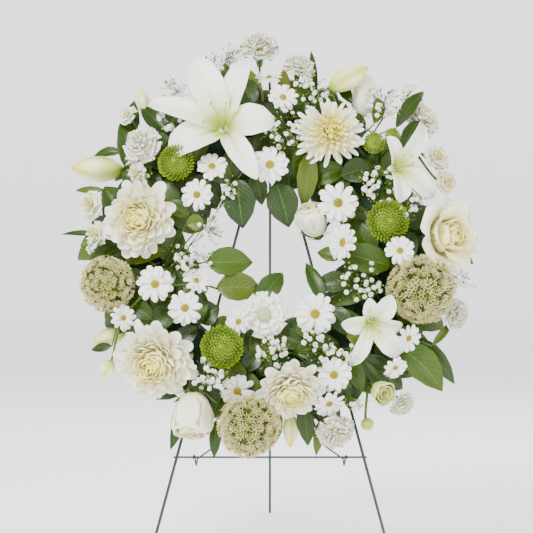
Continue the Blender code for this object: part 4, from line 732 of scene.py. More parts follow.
# For each spray of gypsophila: its hub, its foot in the foam and its tufts
GYPSOPHILA = {
    "gyp_nw": ((-106, -10, 215), (-88, 4, 175), [
        (173, 91, 13, 14), (169, 118, 12, 12), (216, 63, 11, 11), (236, 53, 9, 8), (139, 176, 9, 10)]),
    "gyp_north": ((41, -29, 198), (40, 4, 182), [(285, 128, 20, 26), (311, 90, 17, 18)]),
    "gyp_ne": ((162, 8, 201), (127, -2, 149), [(381, 103, 18, 20), (411, 98, 12, 10)]),
    "gyp_east": ((168, -58, 83), (169, -23, 75), [
        (368, 181, 11, 10), (384, 185, 18, 20), (409, 204, 12, 10)]),
    "gyp_inner_left": ((-109, -60, 19), (-148, -36, 14), [
        (231, 191, 11, 9), (212, 226, 13, 12), (184, 257, 13, 13), (190, 270, 11, 9), (207, 259, 9, 7),
        (160, 275, 8, 5), (92, 246, 7, 7)]),
    "gyp_sw": ((-81, -115, -154), (-75, -79, -151), [(205, 373, 16, 18), (218, 385, 11, 8)]),
    "gyp_south": ((35, -108, -123), (37, -76, -139), [
        (272, 350, 17, 20), (313, 341, 11, 10), (330, 352, 11, 10), (352, 352, 9, 6), (357, 401, 7, 6)]),
    "gyp_inner_right": ((129, -86, -39), (135, -52, -51), [(362, 281, 20, 24)]),
    "gyp_right": ((237, -63, -13), (191, -42, -13), [(456, 259, 11, 9), (462, 278, 9, 7)]),
}

# Pixels at which the photograph shows the tips of a lily's tepals
TEPALS = {
    "lily_top": ((270, 118), (246, 58), (199, 58), (153, 101), (173, 151), (254, 179)),
    "lily_right": ((427, 124), (421, 160), (442, 196), (426, 192), (400, 199), (386, 140)),
    "lily_low": ((345, 323), (355, 367), (404, 360), (402, 332), (388, 295), (366, 297)),
}


# Leaves, buds and gypsophila

# Radii between which the leaves under the flowers stay, so that the hole is clear and no tip leaves the dome
LEAST_REACH = 104
MOST_REACH = 258

# Leaves over the foam's shoulders, inwards or not: radius of the base and of the tip, then height of each
SHOULDERS = {True: (148.0, 94.0, 67.0, 44.0), False: (192.0, 264.0, 67.0, 34.0)}
SHOULDER_TWIST = 0.08
SHOULDER_WIDTH = 44.0


def leaf_skins(bases, tips, widths, normals, draw, tones):
    """Glossy leaves from bases to tips: arched along their normals, folded along a sunken midrib, with wavy
    edges and a tip that curls down."""
    count = len(bases)
    along = np.linspace(0, 1, 16)
    run = tips - bases
    length = np.linalg.norm(run, axis=1)[:, None, None]
    face = unit(normals)
    side = unit(np.cross(face, run))
    arch = 0.36 * along * (1 - along) - 0.05 * along ** 4
    spine = bases[:, None] + along[:, None] * run[:, None] + arch[:, None] * length * face[:, None]
    sway = draw.normal(0, 0.035, count)[:, None, None]
    spine = spine + side[:, None] * sway * length * np.sin(np.pi * along)[:, None]
    way = unit(np.gradient(spine, axis=1))
    up = unit(np.cross(way, side[:, None]))
    up = np.where((up * face[:, None]).sum(axis=2, keepdims=True) < 0, -up, up)
    roll = (draw.normal(0, 0.16, count)[:, None] * along)[..., None]
    across = unit(np.cross(up, way))
    across, up = across * np.cos(roll) + up * np.sin(roll), up * np.cos(roll) - across * np.sin(roll)
    shape = 0.47 * np.asarray(widths, float)[:, None] * outline("leaf", along)
    return blades(spine, across, up, shape, along, 0.5, "leaf", tone=tones, sides=16, cup=0.16, groove=0.16,
                  frill=draw.uniform(0.04, 0.14, count), waves=1.6, phase=draw.uniform(0, ANY_TURN, count))


def bud_skins(base, tip, radius, tone):
    """Closed lily bud between two points: three lobes, fullest at its middle, and a tapering tip. Its tone
    makes it whiter."""
    share = np.linspace(0, 1, 20)
    girth = np.interp(share, (0, 0.05, 0.2, 0.42, 0.62, 0.82, 0.94, 1),
                      (0.2, 0.4, 0.8, 1.04, 0.98, 0.6, 0.26, 0.04))
    girth[[0, -1]] = 0
    profile = np.stack([radius * girth, share * np.linalg.norm(tip - base)], axis=1)
    return spread(turned(1, profile, 27, "lily_bud", tone, 3, 0.15), [base], [tip - base])


def owned(name, angles):
    """Which of the angles round the ring are nearer to this leafy stem's hub than to any other's."""
    hubs = np.array([row[0] for row in FOLIAGE.values()], float)
    hub_angles = np.arctan2(hubs[:, 1] * math.sin(LEAN) + hubs[:, 2] * math.cos(LEAN), hubs[:, 0])
    apart = np.abs((angles[:, None] - hub_angles + np.pi) % (2 * np.pi) - np.pi)
    return np.argmin(apart, axis=1) == list(FOLIAGE).index(name)


def upright(runs):
    """Ways square to runs, as near as can be to straight out of the ring's plane."""
    return np.cross(np.cross(runs, OUTWARDS), runs)


def under_leaves(name, count=132):
    """Leaves that lie low over the foam, under the flowers: bases, tips, widths and normals. The bases are at
    radii of 138 to 204. The tips are clear of the hole and inside the dome, whose height falls to its rim as
    half an ellipse."""
    draw = np.random.default_rng(11)
    angles = evenly(count, draw, 0.8)
    radii = draw.uniform(138, 204, count)
    heading = draw.normal(0, 0.75, count) + np.where(radii + draw.normal(0, 14, count) > 166, 0, np.pi)
    length = draw.uniform(46, 72, count)
    tip_out = radii + length * np.cos(heading)
    inner = length * (radii - LEAST_REACH) / np.maximum(radii - tip_out, 1)
    length = np.where(tip_out < LEAST_REACH, inner, length)
    outer = length * (MOST_REACH - radii) / np.maximum(tip_out - radii, 1)
    length = np.where(tip_out > MOST_REACH, outer, length)
    outward = np.stack([np.cos(angles), np.sin(angles)], axis=1)
    aside = np.stack([-np.sin(angles), np.cos(angles)], axis=1)
    bases = outward * radii[:, None]
    tips = bases + outward * (length * np.cos(heading))[:, None] + aside * (length * np.sin(heading))[:, None]
    heights = []
    for places in (bases, tips):
        share = (np.linalg.norm(places, axis=1) - RING_RADIUS) / DOME_HALF_WIDTH
        rise = 60 * np.sqrt(np.maximum(0, 1 - share ** 2))
        heights.append(np.clip(14 + rise + draw.uniform(-8, 6, count), 24, 80))
    bases = leaned(*bases.T, np.maximum(heights[0], 64)).T
    tips = leaned(*tips.T, heights[1]).T
    mine = owned(name, angles)
    return bases[mine], tips[mine], draw.uniform(30, 46, count)[mine], upright(tips - bases)[mine]


def side_leaves(name, count=66):
    """Leaves that hang back over the foam's outer side: bases, tips, widths and normals. A leaf starts at the
    foam's front edge, and its tip ends 20 to 45 outside the foam and near the tray's rim."""
    draw = np.random.default_rng(23)
    angles = evenly(count, draw, 0.8)
    tip_angles = angles + draw.normal(0, 0.11, count)
    wide = RING_RADIUS + FOAM_HALF_WIDTH
    radii, tip_radii = draw.uniform(wide - 8, wide, count), draw.uniform(wide + 20, wide + 45, count)
    heights, tip_heights = draw.uniform(60, 68, count), draw.uniform(12, 38, count)
    mine = owned(name, angles)
    bases, tips, normals = (
        np.array([ring_place(*row) for row in zip(*columns)])[mine]
        for columns in ((radii, angles, heights), (tip_radii, tip_angles, tip_heights),
                        (np.ones(count), angles, np.full(count, 0.7))))
    return bases, tips, draw.uniform(28, 42, count)[mine], normals


def foliage(name, hub, leaves, buds, shoulders):
    """Leafy stem: its leaves, buds and the leaves over the foam's shoulders, all on stalks from its hub."""
    draw = np.random.default_rng(sum(map(ord, name)))
    hub = np.array(hub, float)
    bases, tips, widths, normals = [], [], [], []
    for leaf in (Leaf(*row) for row in leaves):
        bases.append(seen_at(leaf.px, leaf.py, leaf.out + leaf.push))
        tips.append(seen_at(leaf.tip_px, leaf.tip_py, leaf.tip_out + leaf.push))
        widths.append(leaf.width)
        normals.append(OUTWARDS)
    for leaf in (Shoulder(*row) for row in shoulders):
        near, far, high, low = SHOULDERS[leaf.inwards]
        angle = math.radians(leaf.degrees)
        bases.append(ring_place(near, angle, high + leaf.push))
        tips.append(ring_place(far, angle + SHOULDER_TWIST, low + leaf.push))
        widths.append(SHOULDER_WIDTH)
        normals.append(upright(tips[-1] - bases[-1]))
    bases, tips, normals = np.array(bases), np.array(tips), np.array(normals)
    parts = [leaf_skins(bases, tips, widths, normals, draw, draw.uniform(0, 1, len(bases)) ** 1.5)]
    for more_bases, more_tips, more_widths, more_normals in (under_leaves(name), side_leaves(name)):
        tones = draw.uniform(0, 0.8, len(more_bases))
        parts.append(leaf_skins(more_bases, more_tips, more_widths, more_normals, draw, tones))
        feet = more_bases - (more_tips - more_bases) * 0.12 - 16 * OUTWARDS
        parts.append(tubes(bent(feet, more_bases - 6 * OUTWARDS, more_bases), 1.0, "stem", 5))
    stalks = bent(np.tile(hub, (len(bases), 1)), (bases + hub) / 2 + 5 * OUTWARDS, bases)
    parts.append(tubes(stalks, 1.1, "stem", 6))
    parts.append(tubes([[hub + 3 * OUTWARDS, hub, hub - 27 * OUTWARDS]], 2.2, "stem", 8))
    for bud in (Bud(*row) for row in buds):
        out = bud.out + bud.push
        base, tip = seen_at(bud.px, bud.py, out), seen_at(bud.tip_px, bud.tip_py, out - 6)
        parts.append(bud_skins(base, tip, bud.radius, bud.tone))
        stalk = bent(hub, (base + hub) / 2 + 6 * OUTWARDS, base + (tip - base) * 0.03)
        parts.append(tubes(stalk, 1.5, "stem", 6))
    return parts


def gypsophila(name, hub, foot, tufts):
    """Gypsophila: small double florets with green cups, on fine stalks that branch near each tuft, and green
    buds, two for each floret, on finer stalks."""
    draw = np.random.default_rng(sum(map(ord, name)))
    hub, foot = np.array(hub, float), np.array(foot, float)
    small = {"stations": 4, "sides": 4, "thick": 0.3, "cup": 0.3}
    rows = ((6, 0.1, 0.0, (0.1, 0.2), 3.9, (52, 30, 8), 1.8, 0.3),
            (5, 0.2, 0.5, (0.1, 0.4), 3.0, (76, 58, 40), 1.3, 0.4))
    florets = [fan(1, evenly(count, draw, wobble, turn), *sizes, "spoon", "white_petal", tone=tone, **small)
               for count, wobble, turn, *sizes, tone in rows]
    florets.append(turned(1, [(0, -3.2), (0.8, -2.2), (1.2, -0.6), (1.0, 0.5), (0, 0.6)], 6, "stem"))
    bud = turned(1, [(0, -2.0), (0.9, -1.2), (1.2, 0.0), (0.8, 1.1), (0, 1.6)], 6, "green_petal", 0.3)
    parts = [tubes([[foot, foot * 0.5 + hub * 0.5, hub]], 1.3, "stem", 6)]
    spots, ways, forks = [], [], []
    for tuft in (Tuft(*row) for row in tufts):
        count = round(tuft.count * 1.35)
        reach = tuft.spread * np.sqrt(draw.uniform(0, 1, count))
        turn = draw.uniform(0, 2 * np.pi, count)
        fork = hub + (dome_at(tuft.px, tuft.py) - 12 * OUTWARDS - hub) * 0.72
        parts.append(tubes(bent(hub, (hub + fork) / 2 + (0, -3, 0), fork), 0.8, "stem", 5))
        for px, py in zip(tuft.px + reach * np.cos(turn), tuft.py + reach * np.sin(turn)):
            spot = dome_at(px, py) + (0, -draw.uniform(-8, 13), 0)
            spots.append(spot)
            forks.append(fork)
            ways.append(unit(spot - fork) + (0, -0.8, 0))
    spots, ways, forks = np.array(spots), unit(ways), np.array(forks)
    turns, sizes = draw.uniform(0, ANY_TURN, len(spots)), draw.uniform(0.85, 1.15, len(spots))
    ends = spots - ways * 2.6
    middles = (forks + ends) / 2 - ways * 4 + draw.normal(0, 2, ends.shape)
    parts.append(tubes(bent(forks, middles, ends, 6), 0.4, "stem", 4))
    parts += [spread(skin, spots, ways, turns, sizes) for skin in florets]
    bud_spots = np.repeat(spots, 2, axis=0) + draw.normal(0, 5.5, (2 * len(spots), 3)) * (1, 0.4, 1)
    bud_ways = unit(bud_spots - np.repeat(forks, 2, axis=0))
    parts.append(spread(bud, bud_spots, bud_ways, 0.0, draw.uniform(0.7, 1.1, len(bud_spots))))
    starts = np.repeat(ends * 0.6 + forks * 0.4, 2, axis=0)
    stalks = bent(starts, (starts + bud_spots) / 2 - bud_ways * 2, bud_spots - bud_ways * 1.6, 4)
    return parts + [tubes(stalks, 0.3, "stem", 4)]


# Meshes and materials


def placed(name, data):
    """New object of a mesh, a light or a camera, in the scene."""
    made = bpy.data.objects.new(name, data)
    bpy.context.scene.collection.objects.link(made)
    return made


def mesh_piece(node, parts):
    """Object of all the parts as one mesh, which stands for a CAD node and rides with the stand."""
    name = node + "_fresh"
    points = (np.concatenate([part.points for part in parts]) + SHIFT) * METRES
    starts = np.cumsum([0] + [len(part.points) for part in parts])
    faces, paints, order = [], [], []
    for part, start in zip(parts, starts):
        if part.paint not in paints:
            paints.append(part.paint)
        faces += (part.quads + start).tolist() + (part.tris + start).tolist()
        order.append(np.full(len(part.quads) + len(part.tris), paints.index(part.paint)))
    mesh = bpy.data.meshes.new(name)
    mesh.from_pydata(points.tolist(), [], faces)
    for paint in paints:
        mesh.materials.append(MATERIALS[paint])
    mesh.polygons.foreach_set("material_index", np.concatenate(order).astype(np.int32))
    marks = mesh.attributes.new("petal_marks", "FLOAT_VECTOR", "POINT")
    values = np.concatenate([part.marks for part in parts]).astype(np.float32)
    marks.data.foreach_set("vector", values.ravel())
    mesh.shade_smooth()
    made = placed(name, mesh)
    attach(made, "stand")
    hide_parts(node)


def add(tree, kind, inputs=None, **settings):
    """Adds a shader node with its settings. An input, by name or number, is a value or another node's
    socket."""
    node = tree.nodes.new(kind)
    for name, value in settings.items():
        setattr(node, name, value)
    for name, value in (inputs or {}).items():
        if isinstance(value, bpy.types.NodeSocket):
            tree.links.new(value, node.inputs[name])
        else:
            node.inputs[name].default_value = value
    return node


def ramp(tree, source, stops):
    """Eased colour ramp over a source: stops are (place, colour)."""
    node = add(tree, "ShaderNodeValToRGB", {"Fac": source})
    node.color_ramp.interpolation = "EASE"
    elements = node.color_ramp.elements
    while len(elements) < len(stops):
        elements.new(0.5)
    for element, (place, colour) in zip(elements, stops):
        element.position = place
        element.color = (*colour, 1)
    return node.outputs["Color"]


def mixed(tree, share, low, high, blend="MIX"):
    """Mix of two colours, each a value or a socket."""
    low, high = (side if isinstance(side, bpy.types.NodeSocket) else (*side, 1) for side in (low, high))
    node = add(tree, "ShaderNodeMix", {0: share, 6: low, 7: high}, data_type="RGBA", blend_type=blend)
    return node.outputs[2]


def sums(tree, operation, *values, clamp=False):
    """Math node over up to three values or sockets."""
    node = add(tree, "ShaderNodeMath", dict(enumerate(values)), operation=operation, use_clamp=clamp)
    return node.outputs[0]


def times(tree, first, second):
    """Product of two values or sockets."""
    return sums(tree, "MULTIPLY", first, second)


def less(tree, first, second):
    """First less second, kept between 0 and 1."""
    return sums(tree, "SUBTRACT", first, second, clamp=True)


def new_group(name, inputs, build):
    """Shader node group with float inputs. Build adds its nodes, and gives its outputs by name."""
    group = bpy.data.node_groups.new(name, "ShaderNodeTree")
    for label, value in inputs.items():
        socket = group.interface.new_socket(label, in_out="INPUT", socket_type="NodeSocketFloat")
        socket.default_value = value
    outputs = build(group, group.nodes.new("NodeGroupInput").outputs)
    for label in outputs:
        group.interface.new_socket(label, in_out="OUTPUT", socket_type="NodeSocketFloat")
    result = group.nodes.new("NodeGroupOutput")
    for label, socket in outputs.items():
        group.links.new(socket, result.inputs[label])
    return group


def read_marks(tree):
    """The marks of a surface: sockets of along, across and tone."""
    marks = add(tree, "ShaderNodeAttribute", attribute_name="petal_marks")
    return add(tree, "ShaderNodeSeparateXYZ", {"Vector": marks.outputs["Vector"]}).outputs


def petal_streaks(group, given):
    """Group for petals and blades: reads the marks, and gives fine streaks that run along the petal."""
    along, across, tone = read_marks(group)
    stretched = add(group, "ShaderNodeCombineXYZ", {
        "X": times(group, across, given["Across Scale"]), "Y": times(group, along, given["Along Scale"]),
        "Z": times(group, tone, 61.0)})
    noise = add(group, "ShaderNodeTexNoise", {"Vector": stretched.outputs[0], "Scale": 1.0, "Detail": 3.0})
    return {"Along": along, "Across": across, "Tone": tone, "Streaks": noise.outputs["Fac"]}


def leaf_veins(group, given):
    """Group for leaves: a midrib, and side veins that sweep forwards, each with its own strength of mark."""
    along, across, tone = read_marks(group)
    off = sums(group, "ABSOLUTE", across)
    midrib = less(group, 1.0, sums(group, "DIVIDE", off, 0.07))
    place = sums(group, "SUBTRACT", times(group, along, given["Pairs"]), times(group, off, given["Sweep"]))
    vein = less(group, 1.0, sums(group, "DIVIDE", sums(group, "PINGPONG", place, 0.5), 0.07))
    vein = times(group, vein, less(group, 1.0, times(group, off, 0.8)))
    return {"Veins": vein, "Midrib": midrib, "Tone": tone}


def mottle(group, given):
    """Group for plain surfaces: soft patches and a fine grain, from Object coordinates."""
    place = add(group, "ShaderNodeTexCoord").outputs["Object"]
    noises = {}
    for label, scale, detail in (("Patches", "Patch Scale", 4.0), ("Grain", "Grain Scale", 2.0)):
        noise = add(group, "ShaderNodeTexNoise", {"Vector": place, "Scale": given[scale], "Detail": detail})
        noises[label] = noise.outputs["Fac"]
    return noises


def fresh_material(name, **values):
    """New material, with constant values on its shader's own sockets."""
    material = bpy.data.materials.new(name)
    material.use_nodes = True
    for label, value in values.items():
        material.node_tree.nodes["Principled BSDF"].inputs[label.replace("_", " ")].default_value = value
    return material


def grouped(tree, group, **values):
    """Places a node group in a material's tree with its own values, and gives its outputs."""
    node = add(tree, "ShaderNodeGroup", node_tree=GROUPS[group])
    for label, value in values.items():
        node.inputs[label.replace("_", " ")].default_value = value
    return node.outputs


def finished(material, colour, height, distance, strength=0.5, rough=None):
    """The material with its colour, with a height as bumps, and with its roughness where that varies."""
    tree = material.node_tree
    shader = tree.nodes["Principled BSDF"]
    tree.links.new(colour, shader.inputs["Base Color"])
    if rough:
        tree.links.new(rough, shader.inputs["Roughness"])
    bumps = add(tree, "ShaderNodeBump", {"Height": height, "Distance": distance, "Strength": strength})
    tree.links.new(bumps.outputs["Normal"], shader.inputs["Normal"])
    return material


def petal_material(name, stops, hearts, streak, glow=0.12):
    """Soft petal: a colour that runs from its foot to its tip, tinted by its tone, with streaks and low
    ridges."""
    material = fresh_material(name, Roughness=0.6, Subsurface_Weight=glow, Subsurface_Scale=0.004,
                              Sheen_Weight=0.08)
    tree = material.node_tree
    marks = grouped(tree, "petal_streaks", Across_Scale=9.0)
    tint = ramp(tree, marks["Tone"], hearts)
    colour = mixed(tree, 1.0, ramp(tree, marks["Along"], stops), tint, "MULTIPLY")
    dark = times(tree, less(tree, marks["Streaks"], 0.35), streak)
    colour = mixed(tree, dark, colour, (0.7, 0.72, 0.56), "MULTIPLY")
    return finished(material, colour, marks["Streaks"], 0.0006)


def leaf_material(name, stops):
    """Glossy leaf: dark green to olive by its tone, with paler veins that stand a little proud."""
    material = fresh_material(
        name, Roughness=0.36, Coat_Weight=0.12, Coat_Roughness=0.2, Specular_IOR_Level=0.3,
        Subsurface_Weight=0.03, Subsurface_Scale=0.002)
    tree = material.node_tree
    veins = grouped(tree, "leaf_veins")
    patches = grouped(tree, "mottle", Patch_Scale=60.0, Grain_Scale=1400.0)
    green = ramp(tree, veins["Tone"], stops)
    green = mixed(tree, times(tree, patches["Patches"], 0.5), green, (0.03, 0.065, 0.0))
    green = mixed(tree, times(tree, veins["Veins"], 0.28), green, (0.1, 0.18, 0.01))
    green = mixed(tree, times(tree, veins["Midrib"], 0.45), green, (0.12, 0.24, 0.03))
    rough = sums(tree, "ADD", 0.26, times(tree, patches["Grain"], 0.22))
    height = sums(tree, "ADD", veins["Veins"], times(tree, patches["Grain"], 0.25))
    return finished(material, green, height, 0.0009, 0.8, rough)


def lily_material(name, stops):
    """Lily tepal: white, with a yellow-green throat and midrib, and faint ridges."""
    material = fresh_material(name, Roughness=0.5, Subsurface_Weight=0.15, Subsurface_Scale=0.005)
    tree = material.node_tree
    marks = grouped(tree, "petal_streaks", Across_Scale=7.0)
    colour = ramp(tree, marks["Along"], stops)
    rib = less(tree, 1.0, sums(tree, "DIVIDE", sums(tree, "ABSOLUTE", marks["Across"]), 0.2))
    rib = times(tree, times(tree, rib, less(tree, 1.0, times(tree, marks["Along"], 0.85))), 0.6)
    colour = mixed(tree, rib, colour, (0.56, 0.66, 0.14))
    dark = times(tree, less(tree, marks["Streaks"], 0.4), 0.8)
    colour = mixed(tree, dark, colour, (0.62, 0.68, 0.4), "MULTIPLY")
    return finished(material, colour, marks["Streaks"], 0.0008)


def bud_material(name, stops):
    """Lily bud: green at its neck and along its grooves, through cream to a yellow tip."""
    material = fresh_material(name, Roughness=0.42, Subsurface_Weight=0.1, Subsurface_Scale=0.004)
    tree = material.node_tree
    marks = grouped(tree, "petal_streaks", Across_Scale=5.0, Along_Scale=2.5)
    groove = times(tree, less(tree, 0.0, marks["Across"]), 0.55)
    colour = mixed(tree, groove, ramp(tree, marks["Along"], stops), (0.42, 0.5, 0.03))
    colour = mixed(tree, times(tree, marks["Tone"], 0.8), colour, (0.95, 0.93, 0.78))
    colour = mixed(tree, times(tree, marks["Streaks"], 0.3), colour, (0.75, 0.75, 0.5), "MULTIPLY")
    return finished(material, colour, marks["Streaks"], 0.0006)


def toned_material(name, stops, roughness, glow=0.05):
    """Surface whose colour follows its tone, with a fine grain."""
    material = fresh_material(name, Roughness=roughness, Subsurface_Weight=glow, Subsurface_Scale=0.002)
    tree = material.node_tree
    marks = grouped(tree, "petal_streaks")
    surface = grouped(tree, "mottle", Patch_Scale=160.0, Grain_Scale=2400.0)
    shade = times(tree, less(tree, surface["Patches"], 0.3), 0.9)
    colour = mixed(tree, shade, ramp(tree, marks["Tone"], stops), (0.55, 0.5, 0.3), "MULTIPLY")
    return finished(material, colour, surface["Grain"], 0.0003)


def plain_material(name, low, high, roughness, patch_scale, grain_scale, depth=0.0004, **values):
    """Plain surface with soft patches between two colours and a fine grain."""
    material = fresh_material(name, Roughness=roughness, **values)
    tree = material.node_tree
    surface = grouped(tree, "mottle", Patch_Scale=patch_scale, Grain_Scale=grain_scale)
    share = sums(tree, "MULTIPLY", less(tree, surface["Patches"], 0.3), 2.2, clamp=True)
    rough = sums(tree, "ADD", roughness - 0.08, times(tree, surface["Grain"], 0.16))
    return finished(material, mixed(tree, share, low, high), surface["Grain"], depth, rough=rough)


WHITE = (1.0, 1.0, 1.0)
GROUPS = {
    "petal_streaks": new_group("petal_streaks", {"Across Scale": 9.0, "Along Scale": 1.3}, petal_streaks),
    "leaf_veins": new_group("leaf_veins", {"Pairs": 8.0, "Sweep": 2.6}, leaf_veins),
    "mottle": new_group("mottle", {"Patch Scale": 40.0, "Grain Scale": 900.0}, mottle),
}
RECIPES = {
    "white_petal": (
        petal_material,
        ((0.0, (0.7, 0.78, 0.36)), (0.22, (0.93, 0.92, 0.8)), (0.5, (0.97, 0.955, 0.91)),
         (1.0, (0.97, 0.95, 0.9))),
        ((0.0, WHITE), (0.3, (0.99, 0.98, 0.93)), (0.7, (0.98, 0.95, 0.76)), (1.0, (0.94, 0.92, 0.6))), 0.3),
    "cream_petal": (
        petal_material, ((0.0, (0.9, 0.82, 0.3)), (0.3, (0.95, 0.91, 0.66)), (1.0, (0.97, 0.95, 0.84))),
        ((0.0, WHITE), (0.25, (1.0, 0.985, 0.88)), (0.6, (1.0, 0.95, 0.48)), (1.0, (0.97, 0.87, 0.14))), 0.3),
    "pale_green_petal": (
        petal_material, ((0.0, (0.28, 0.42, 0.02)), (0.4, (0.52, 0.6, 0.12)), (1.0, (0.76, 0.78, 0.34))),
        ((0.0, WHITE), (1.0, (0.9, 0.94, 0.6))), 0.4),
    "green_petal": (
        petal_material, ((0.0, (0.03, 0.09, 0.0)), (0.45, (0.15, 0.25, 0.0)), (1.0, (0.34, 0.42, 0.002))),
        ((0.0, (0.95, 1.0, 0.8)), (1.0, (0.85, 0.95, 0.6))), 0.4, 0.05),
    "allium_petal": (
        petal_material, ((0.0, (0.12, 0.2, 0.01)), (0.25, (0.56, 0.54, 0.16)), (1.0, (0.9, 0.83, 0.52))),
        ((0.0, WHITE), (0.5, (0.94, 0.9, 0.7)), (1.0, (0.76, 0.8, 0.44))), 0.4, 0.06),
    "lily_tepal": (
        lily_material, ((0.0, (0.26, 0.36, 0.01)), (0.13, (0.56, 0.64, 0.1)), (0.32, (0.9, 0.9, 0.6)),
                        (0.55, (0.95, 0.94, 0.87)), (1.0, (0.96, 0.94, 0.86)))),
    "lily_bud": (
        bud_material, ((0.0, (0.3, 0.42, 0.01)), (0.2, (0.7, 0.74, 0.2)), (0.55, (0.92, 0.89, 0.5)),
                       (0.85, (0.86, 0.8, 0.2)), (1.0, (0.5, 0.5, 0.02)))),
    "leaf": (
        leaf_material, ((0.0, (0.01, 0.03, 0.0)), (0.35, (0.024, 0.058, 0.0)), (0.7, (0.045, 0.09, 0.0)),
                        (0.88, (0.09, 0.12, 0.001)), (1.0, (0.13, 0.13, 0.004)))),
    "daisy_disc": (
        toned_material, ((0.0, (0.34, 0.21, 0.0)), (0.2, (0.33, 0.26, 0.0)), (0.4, (0.2, 0.18, 0.0)),
                         (1.0, (0.06, 0.07, 0.0))), 0.75),
    "pincushion": (toned_material, ((0.0, (0.5, 0.58, 0.26)), (1.0, (0.8, 0.84, 0.62))), 0.7),
    "pod": (toned_material, ((0.0, (0.56, 0.58, 0.08)), (1.0, (0.22, 0.32, 0.01))), 0.6),
    "anther": (toned_material, ((0.0, (0.46, 0.44, 0.2)), (1.0, (0.5, 0.62, 0.3))), 0.7),
    "filament": (toned_material, ((0.0, (0.5, 0.6, 0.12)), (1.0, (0.36, 0.5, 0.06))), 0.5, 0.1),
    # Low and high colour, roughness, scales of the patches and the grain, and depth of the grain
    "stem": (plain_material, (0.02, 0.07, 0.0), (0.08, 0.15, 0.002), 0.5, 80.0, 1500.0),
    "allium_heart": (plain_material, (0.04, 0.08, 0.0), (0.16, 0.18, 0.01), 0.8, 120.0, 900.0, 0.001),
    "foam": (plain_material, (0.004, 0.022, 0.006), (0.01, 0.045, 0.012), 0.9, 30.0, 420.0, 0.002),
    "tray_plastic": (plain_material, (0.008, 0.06, 0.018), (0.012, 0.08, 0.024), 0.42, 20.0, 1600.0, 0.0002),
    "wire_green": (
        partial(plain_material, Coat_Weight=0.3, Coat_Roughness=0.2),
        (0.002, 0.022, 0.012), (0.004, 0.034, 0.018), 0.34, 90.0, 900.0, 0.0002),
}
MATERIALS = {name: make(name, *values) for name, (make, *values) in RECIPES.items()}


# The wreath, piece by piece

def aimed(yaw, pitch):
    """Way that a head faces: yaw degrees to the right and pitch degrees up from straight forwards."""
    a, b = math.radians(yaw), math.radians(pitch)
    return np.array([math.sin(a) * math.cos(b), -math.cos(a) * math.cos(b), math.sin(b)])


def tepals_towards(tips, spot, way, radius):
    """Angles and reaches of a lily's tepals, whose tips the photograph shows at these pixels."""
    turn = frames_for(way[None])[0]
    depths = [-spot[1] + (MIDDLE_PY - py) * PIXEL * math.tan(LEAN) for _px, py in tips]
    off = (np.array([seen_at(px, py, depth) for (px, py), depth in zip(tips, depths)]) - spot) @ turn[:, :2]
    return np.arctan2(off[:, 1], off[:, 0]), np.clip(np.hypot(off[:, 0], off[:, 1]) / radius, 0.5, 1.3)


def bloom_skins(name, number, bloom, foot):
    """Skins of one bloom on its stem, set where the CAD has it."""
    draw = np.random.default_rng(sum(map(ord, name)) + 97 * number)
    spot = dome_at(bloom.px, bloom.py) + (0, -bloom.push, 0)
    way = aimed(bloom.yaw, bloom.pitch)
    spin, shape = bloom.px * 0.7, ()
    if name in TEPALS:
        spin, shape = 0.0, tepals_towards(TEPALS[name], spot, way, bloom.size / 2)
    parts = KINDS[bloom.kind](bloom.size / 2, draw, *shape)
    neck = spot + way * min(part.points[:, 2].min() for part in parts) * 0.9
    stem = bent(np.array(foot, float), np.array(bloom.bend, float), neck, 9)
    return [spread(part, [spot], [way], spin) for part in parts] + [tubes(stem, 1.9, "stem", 8)]


def build_flowers():
    """Every bloom, leafy stem and spray of gypsophila, each as one piece for its own CAD node."""
    for name, (foot, *rows) in BLOOMS.items():
        blooms = [Bloom(*row) for row in rows]
        feet = [foot] + [blooms[0].bend] * (len(blooms) - 1)
        mesh_piece(name, [skin for number, (bloom, start) in enumerate(zip(blooms, feet))
                          for skin in bloom_skins(name, number, bloom, start)])
    for name, row in FOLIAGE.items():
        mesh_piece(name, foliage(name, *row))
    for name, row in GYPSOPHILA.items():
        mesh_piece(name, gypsophila(name, *row))


def build_ring():
    """Smooth foam ring, and the tray whose channel holds it."""
    wide, narrow = RING_RADIUS + FOAM_HALF_WIDTH, RING_RADIUS - FOAM_HALF_WIDTH
    low, high = TRAY_BACK + TRAY_WALL + 0.3, FOAM_FRONT - FOAM_CHAMFER
    angles = np.radians(np.linspace(0, 90, 5))
    corner = [(FOAM_CHAMFER * c, FOAM_CHAMFER * s) for c, s in zip(np.cos(angles), np.sin(angles))]
    block = [(narrow, low), (wide, low), *((wide - FOAM_CHAMFER + a, high + b) for a, b in corner),
             *((narrow + FOAM_CHAMFER - b, high + a) for a, b in corner)]
    mesh_piece("foam_ring", [hoop(block, 144, "foam")])
    outer, inner = RING_RADIUS + TRAY_HALF_WIDTH, RING_RADIUS - TRAY_HALF_WIDTH
    floor, rim = TRAY_BACK, TRAY_BACK + TRAY_DEPTH
    half = [(1.5, floor), (0.4, floor + 0.4), (0, floor + 1.5), (0, rim - 0.6), (0.6, rim),
            (TRAY_WALL - 0.4, rim), (TRAY_WALL, rim - 0.4), (TRAY_WALL + 2, floor + TRAY_WALL)]
    channel = [(inner + 1.5, floor), *((outer - a, z) for a, z in half),
               *((inner + a, z) for a, z in half[:0:-1])]
    mesh_piece("ring_tray", [hoop(channel, 144, "tray_plastic")])


def paint_wires():
    """The easel's wires keep their CAD shapes, in dark green enamel."""
    for name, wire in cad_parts.items():
        if name.startswith("easel_"):
            wire.data.materials.clear()
            wire.data.materials.append(MATERIALS["wire_green"])


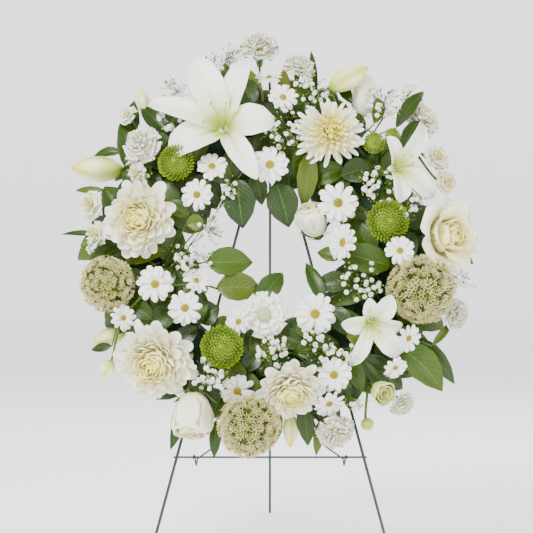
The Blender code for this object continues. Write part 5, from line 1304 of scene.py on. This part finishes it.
def build_floor():
    """Pale floor that curves up far away all round."""
    reach, bend, top, sides = 12.0, 3.0, 6.0, 96
    line = [(reach + bend * math.sin(a), bend - bend * math.cos(a)) for a in np.linspace(0, math.pi / 2, 9)]
    turns = [2 * math.pi * i / sides for i in range(sides)]
    points = [(0, 0, 0)]
    points += [(x * math.cos(a), x * math.sin(a), z) for x, z in (*line, (reach + bend, top)) for a in turns]
    faces = [(0, 1 + i, 1 + (i + 1) % sides) for i in range(sides)]
    for row in range(len(line)):
        low, high = 1 + row * sides, 1 + (row + 1) * sides
        faces += [(high + i, high + (i + 1) % sides, low + (i + 1) % sides, low + i) for i in range(sides)]
    mesh = bpy.data.meshes.new("floor")
    mesh.from_pydata(points, [], faces)
    mesh.shade_smooth()
    mesh.materials.append(fresh_material(
        "pale_floor", Roughness=0.95, Base_Color=(0.9, 0.9, 0.9, 1), Emission_Color=(1, 1, 1, 1),
        Emission_Strength=0.95))
    placed("floor", mesh)


def build_lights():
    """Soft light from all round and from three lamps."""
    world = bpy.data.worlds.new("studio")
    world.use_nodes = True
    sky = world.node_tree.nodes["Background"].inputs
    sky["Color"].default_value = (1.0, 1.0, 1.0, 1)
    sky["Strength"].default_value = 0.6
    bpy.context.scene.world = world
    lamps = (("key", (-1.2, -2.2, 2.4), 140, 1.0), ("fill", (1.9, -1.9, 1.3), 30, 2.0),
             ("rim", (0.7, 1.7, 2.2), 50, 1.2))
    for name, place, watts, wide in lamps:
        light = bpy.data.lights.new(name, "AREA")
        light.energy, light.size = watts, wide
        lamp = placed(name, light)
        lamp.location = place
        lamp.rotation_euler = (Vector((0, 0, 0.4)) - Vector(place)).to_track_quat("-Z", "Y").to_euler()


def build_camera():
    """Level camera at the photograph's distance, shifted so that the ring's middle is at its pixel."""
    camera = bpy.data.cameras.new("camera")
    camera.lens, camera.sensor_width = 36 * VIEW_DISTANCE / (PHOTO_SIDE * PIXEL), 36
    camera.shift_x = (PHOTO_SIDE / 2 - MIDDLE_PX) / PHOTO_SIDE
    camera.shift_y = (MIDDLE_PY - PHOTO_SIDE / 2) / PHOTO_SIDE
    eye = placed("camera", camera)
    eye.location = (SHIFT + (0, -VIEW_DISTANCE, 0)) * METRES
    eye.rotation_euler = (math.pi / 2, 0, 0)
    bpy.context.scene.camera = eye


build_floor()
build_lights()
build_camera()
build_ring()
paint_wires()
build_flowers()
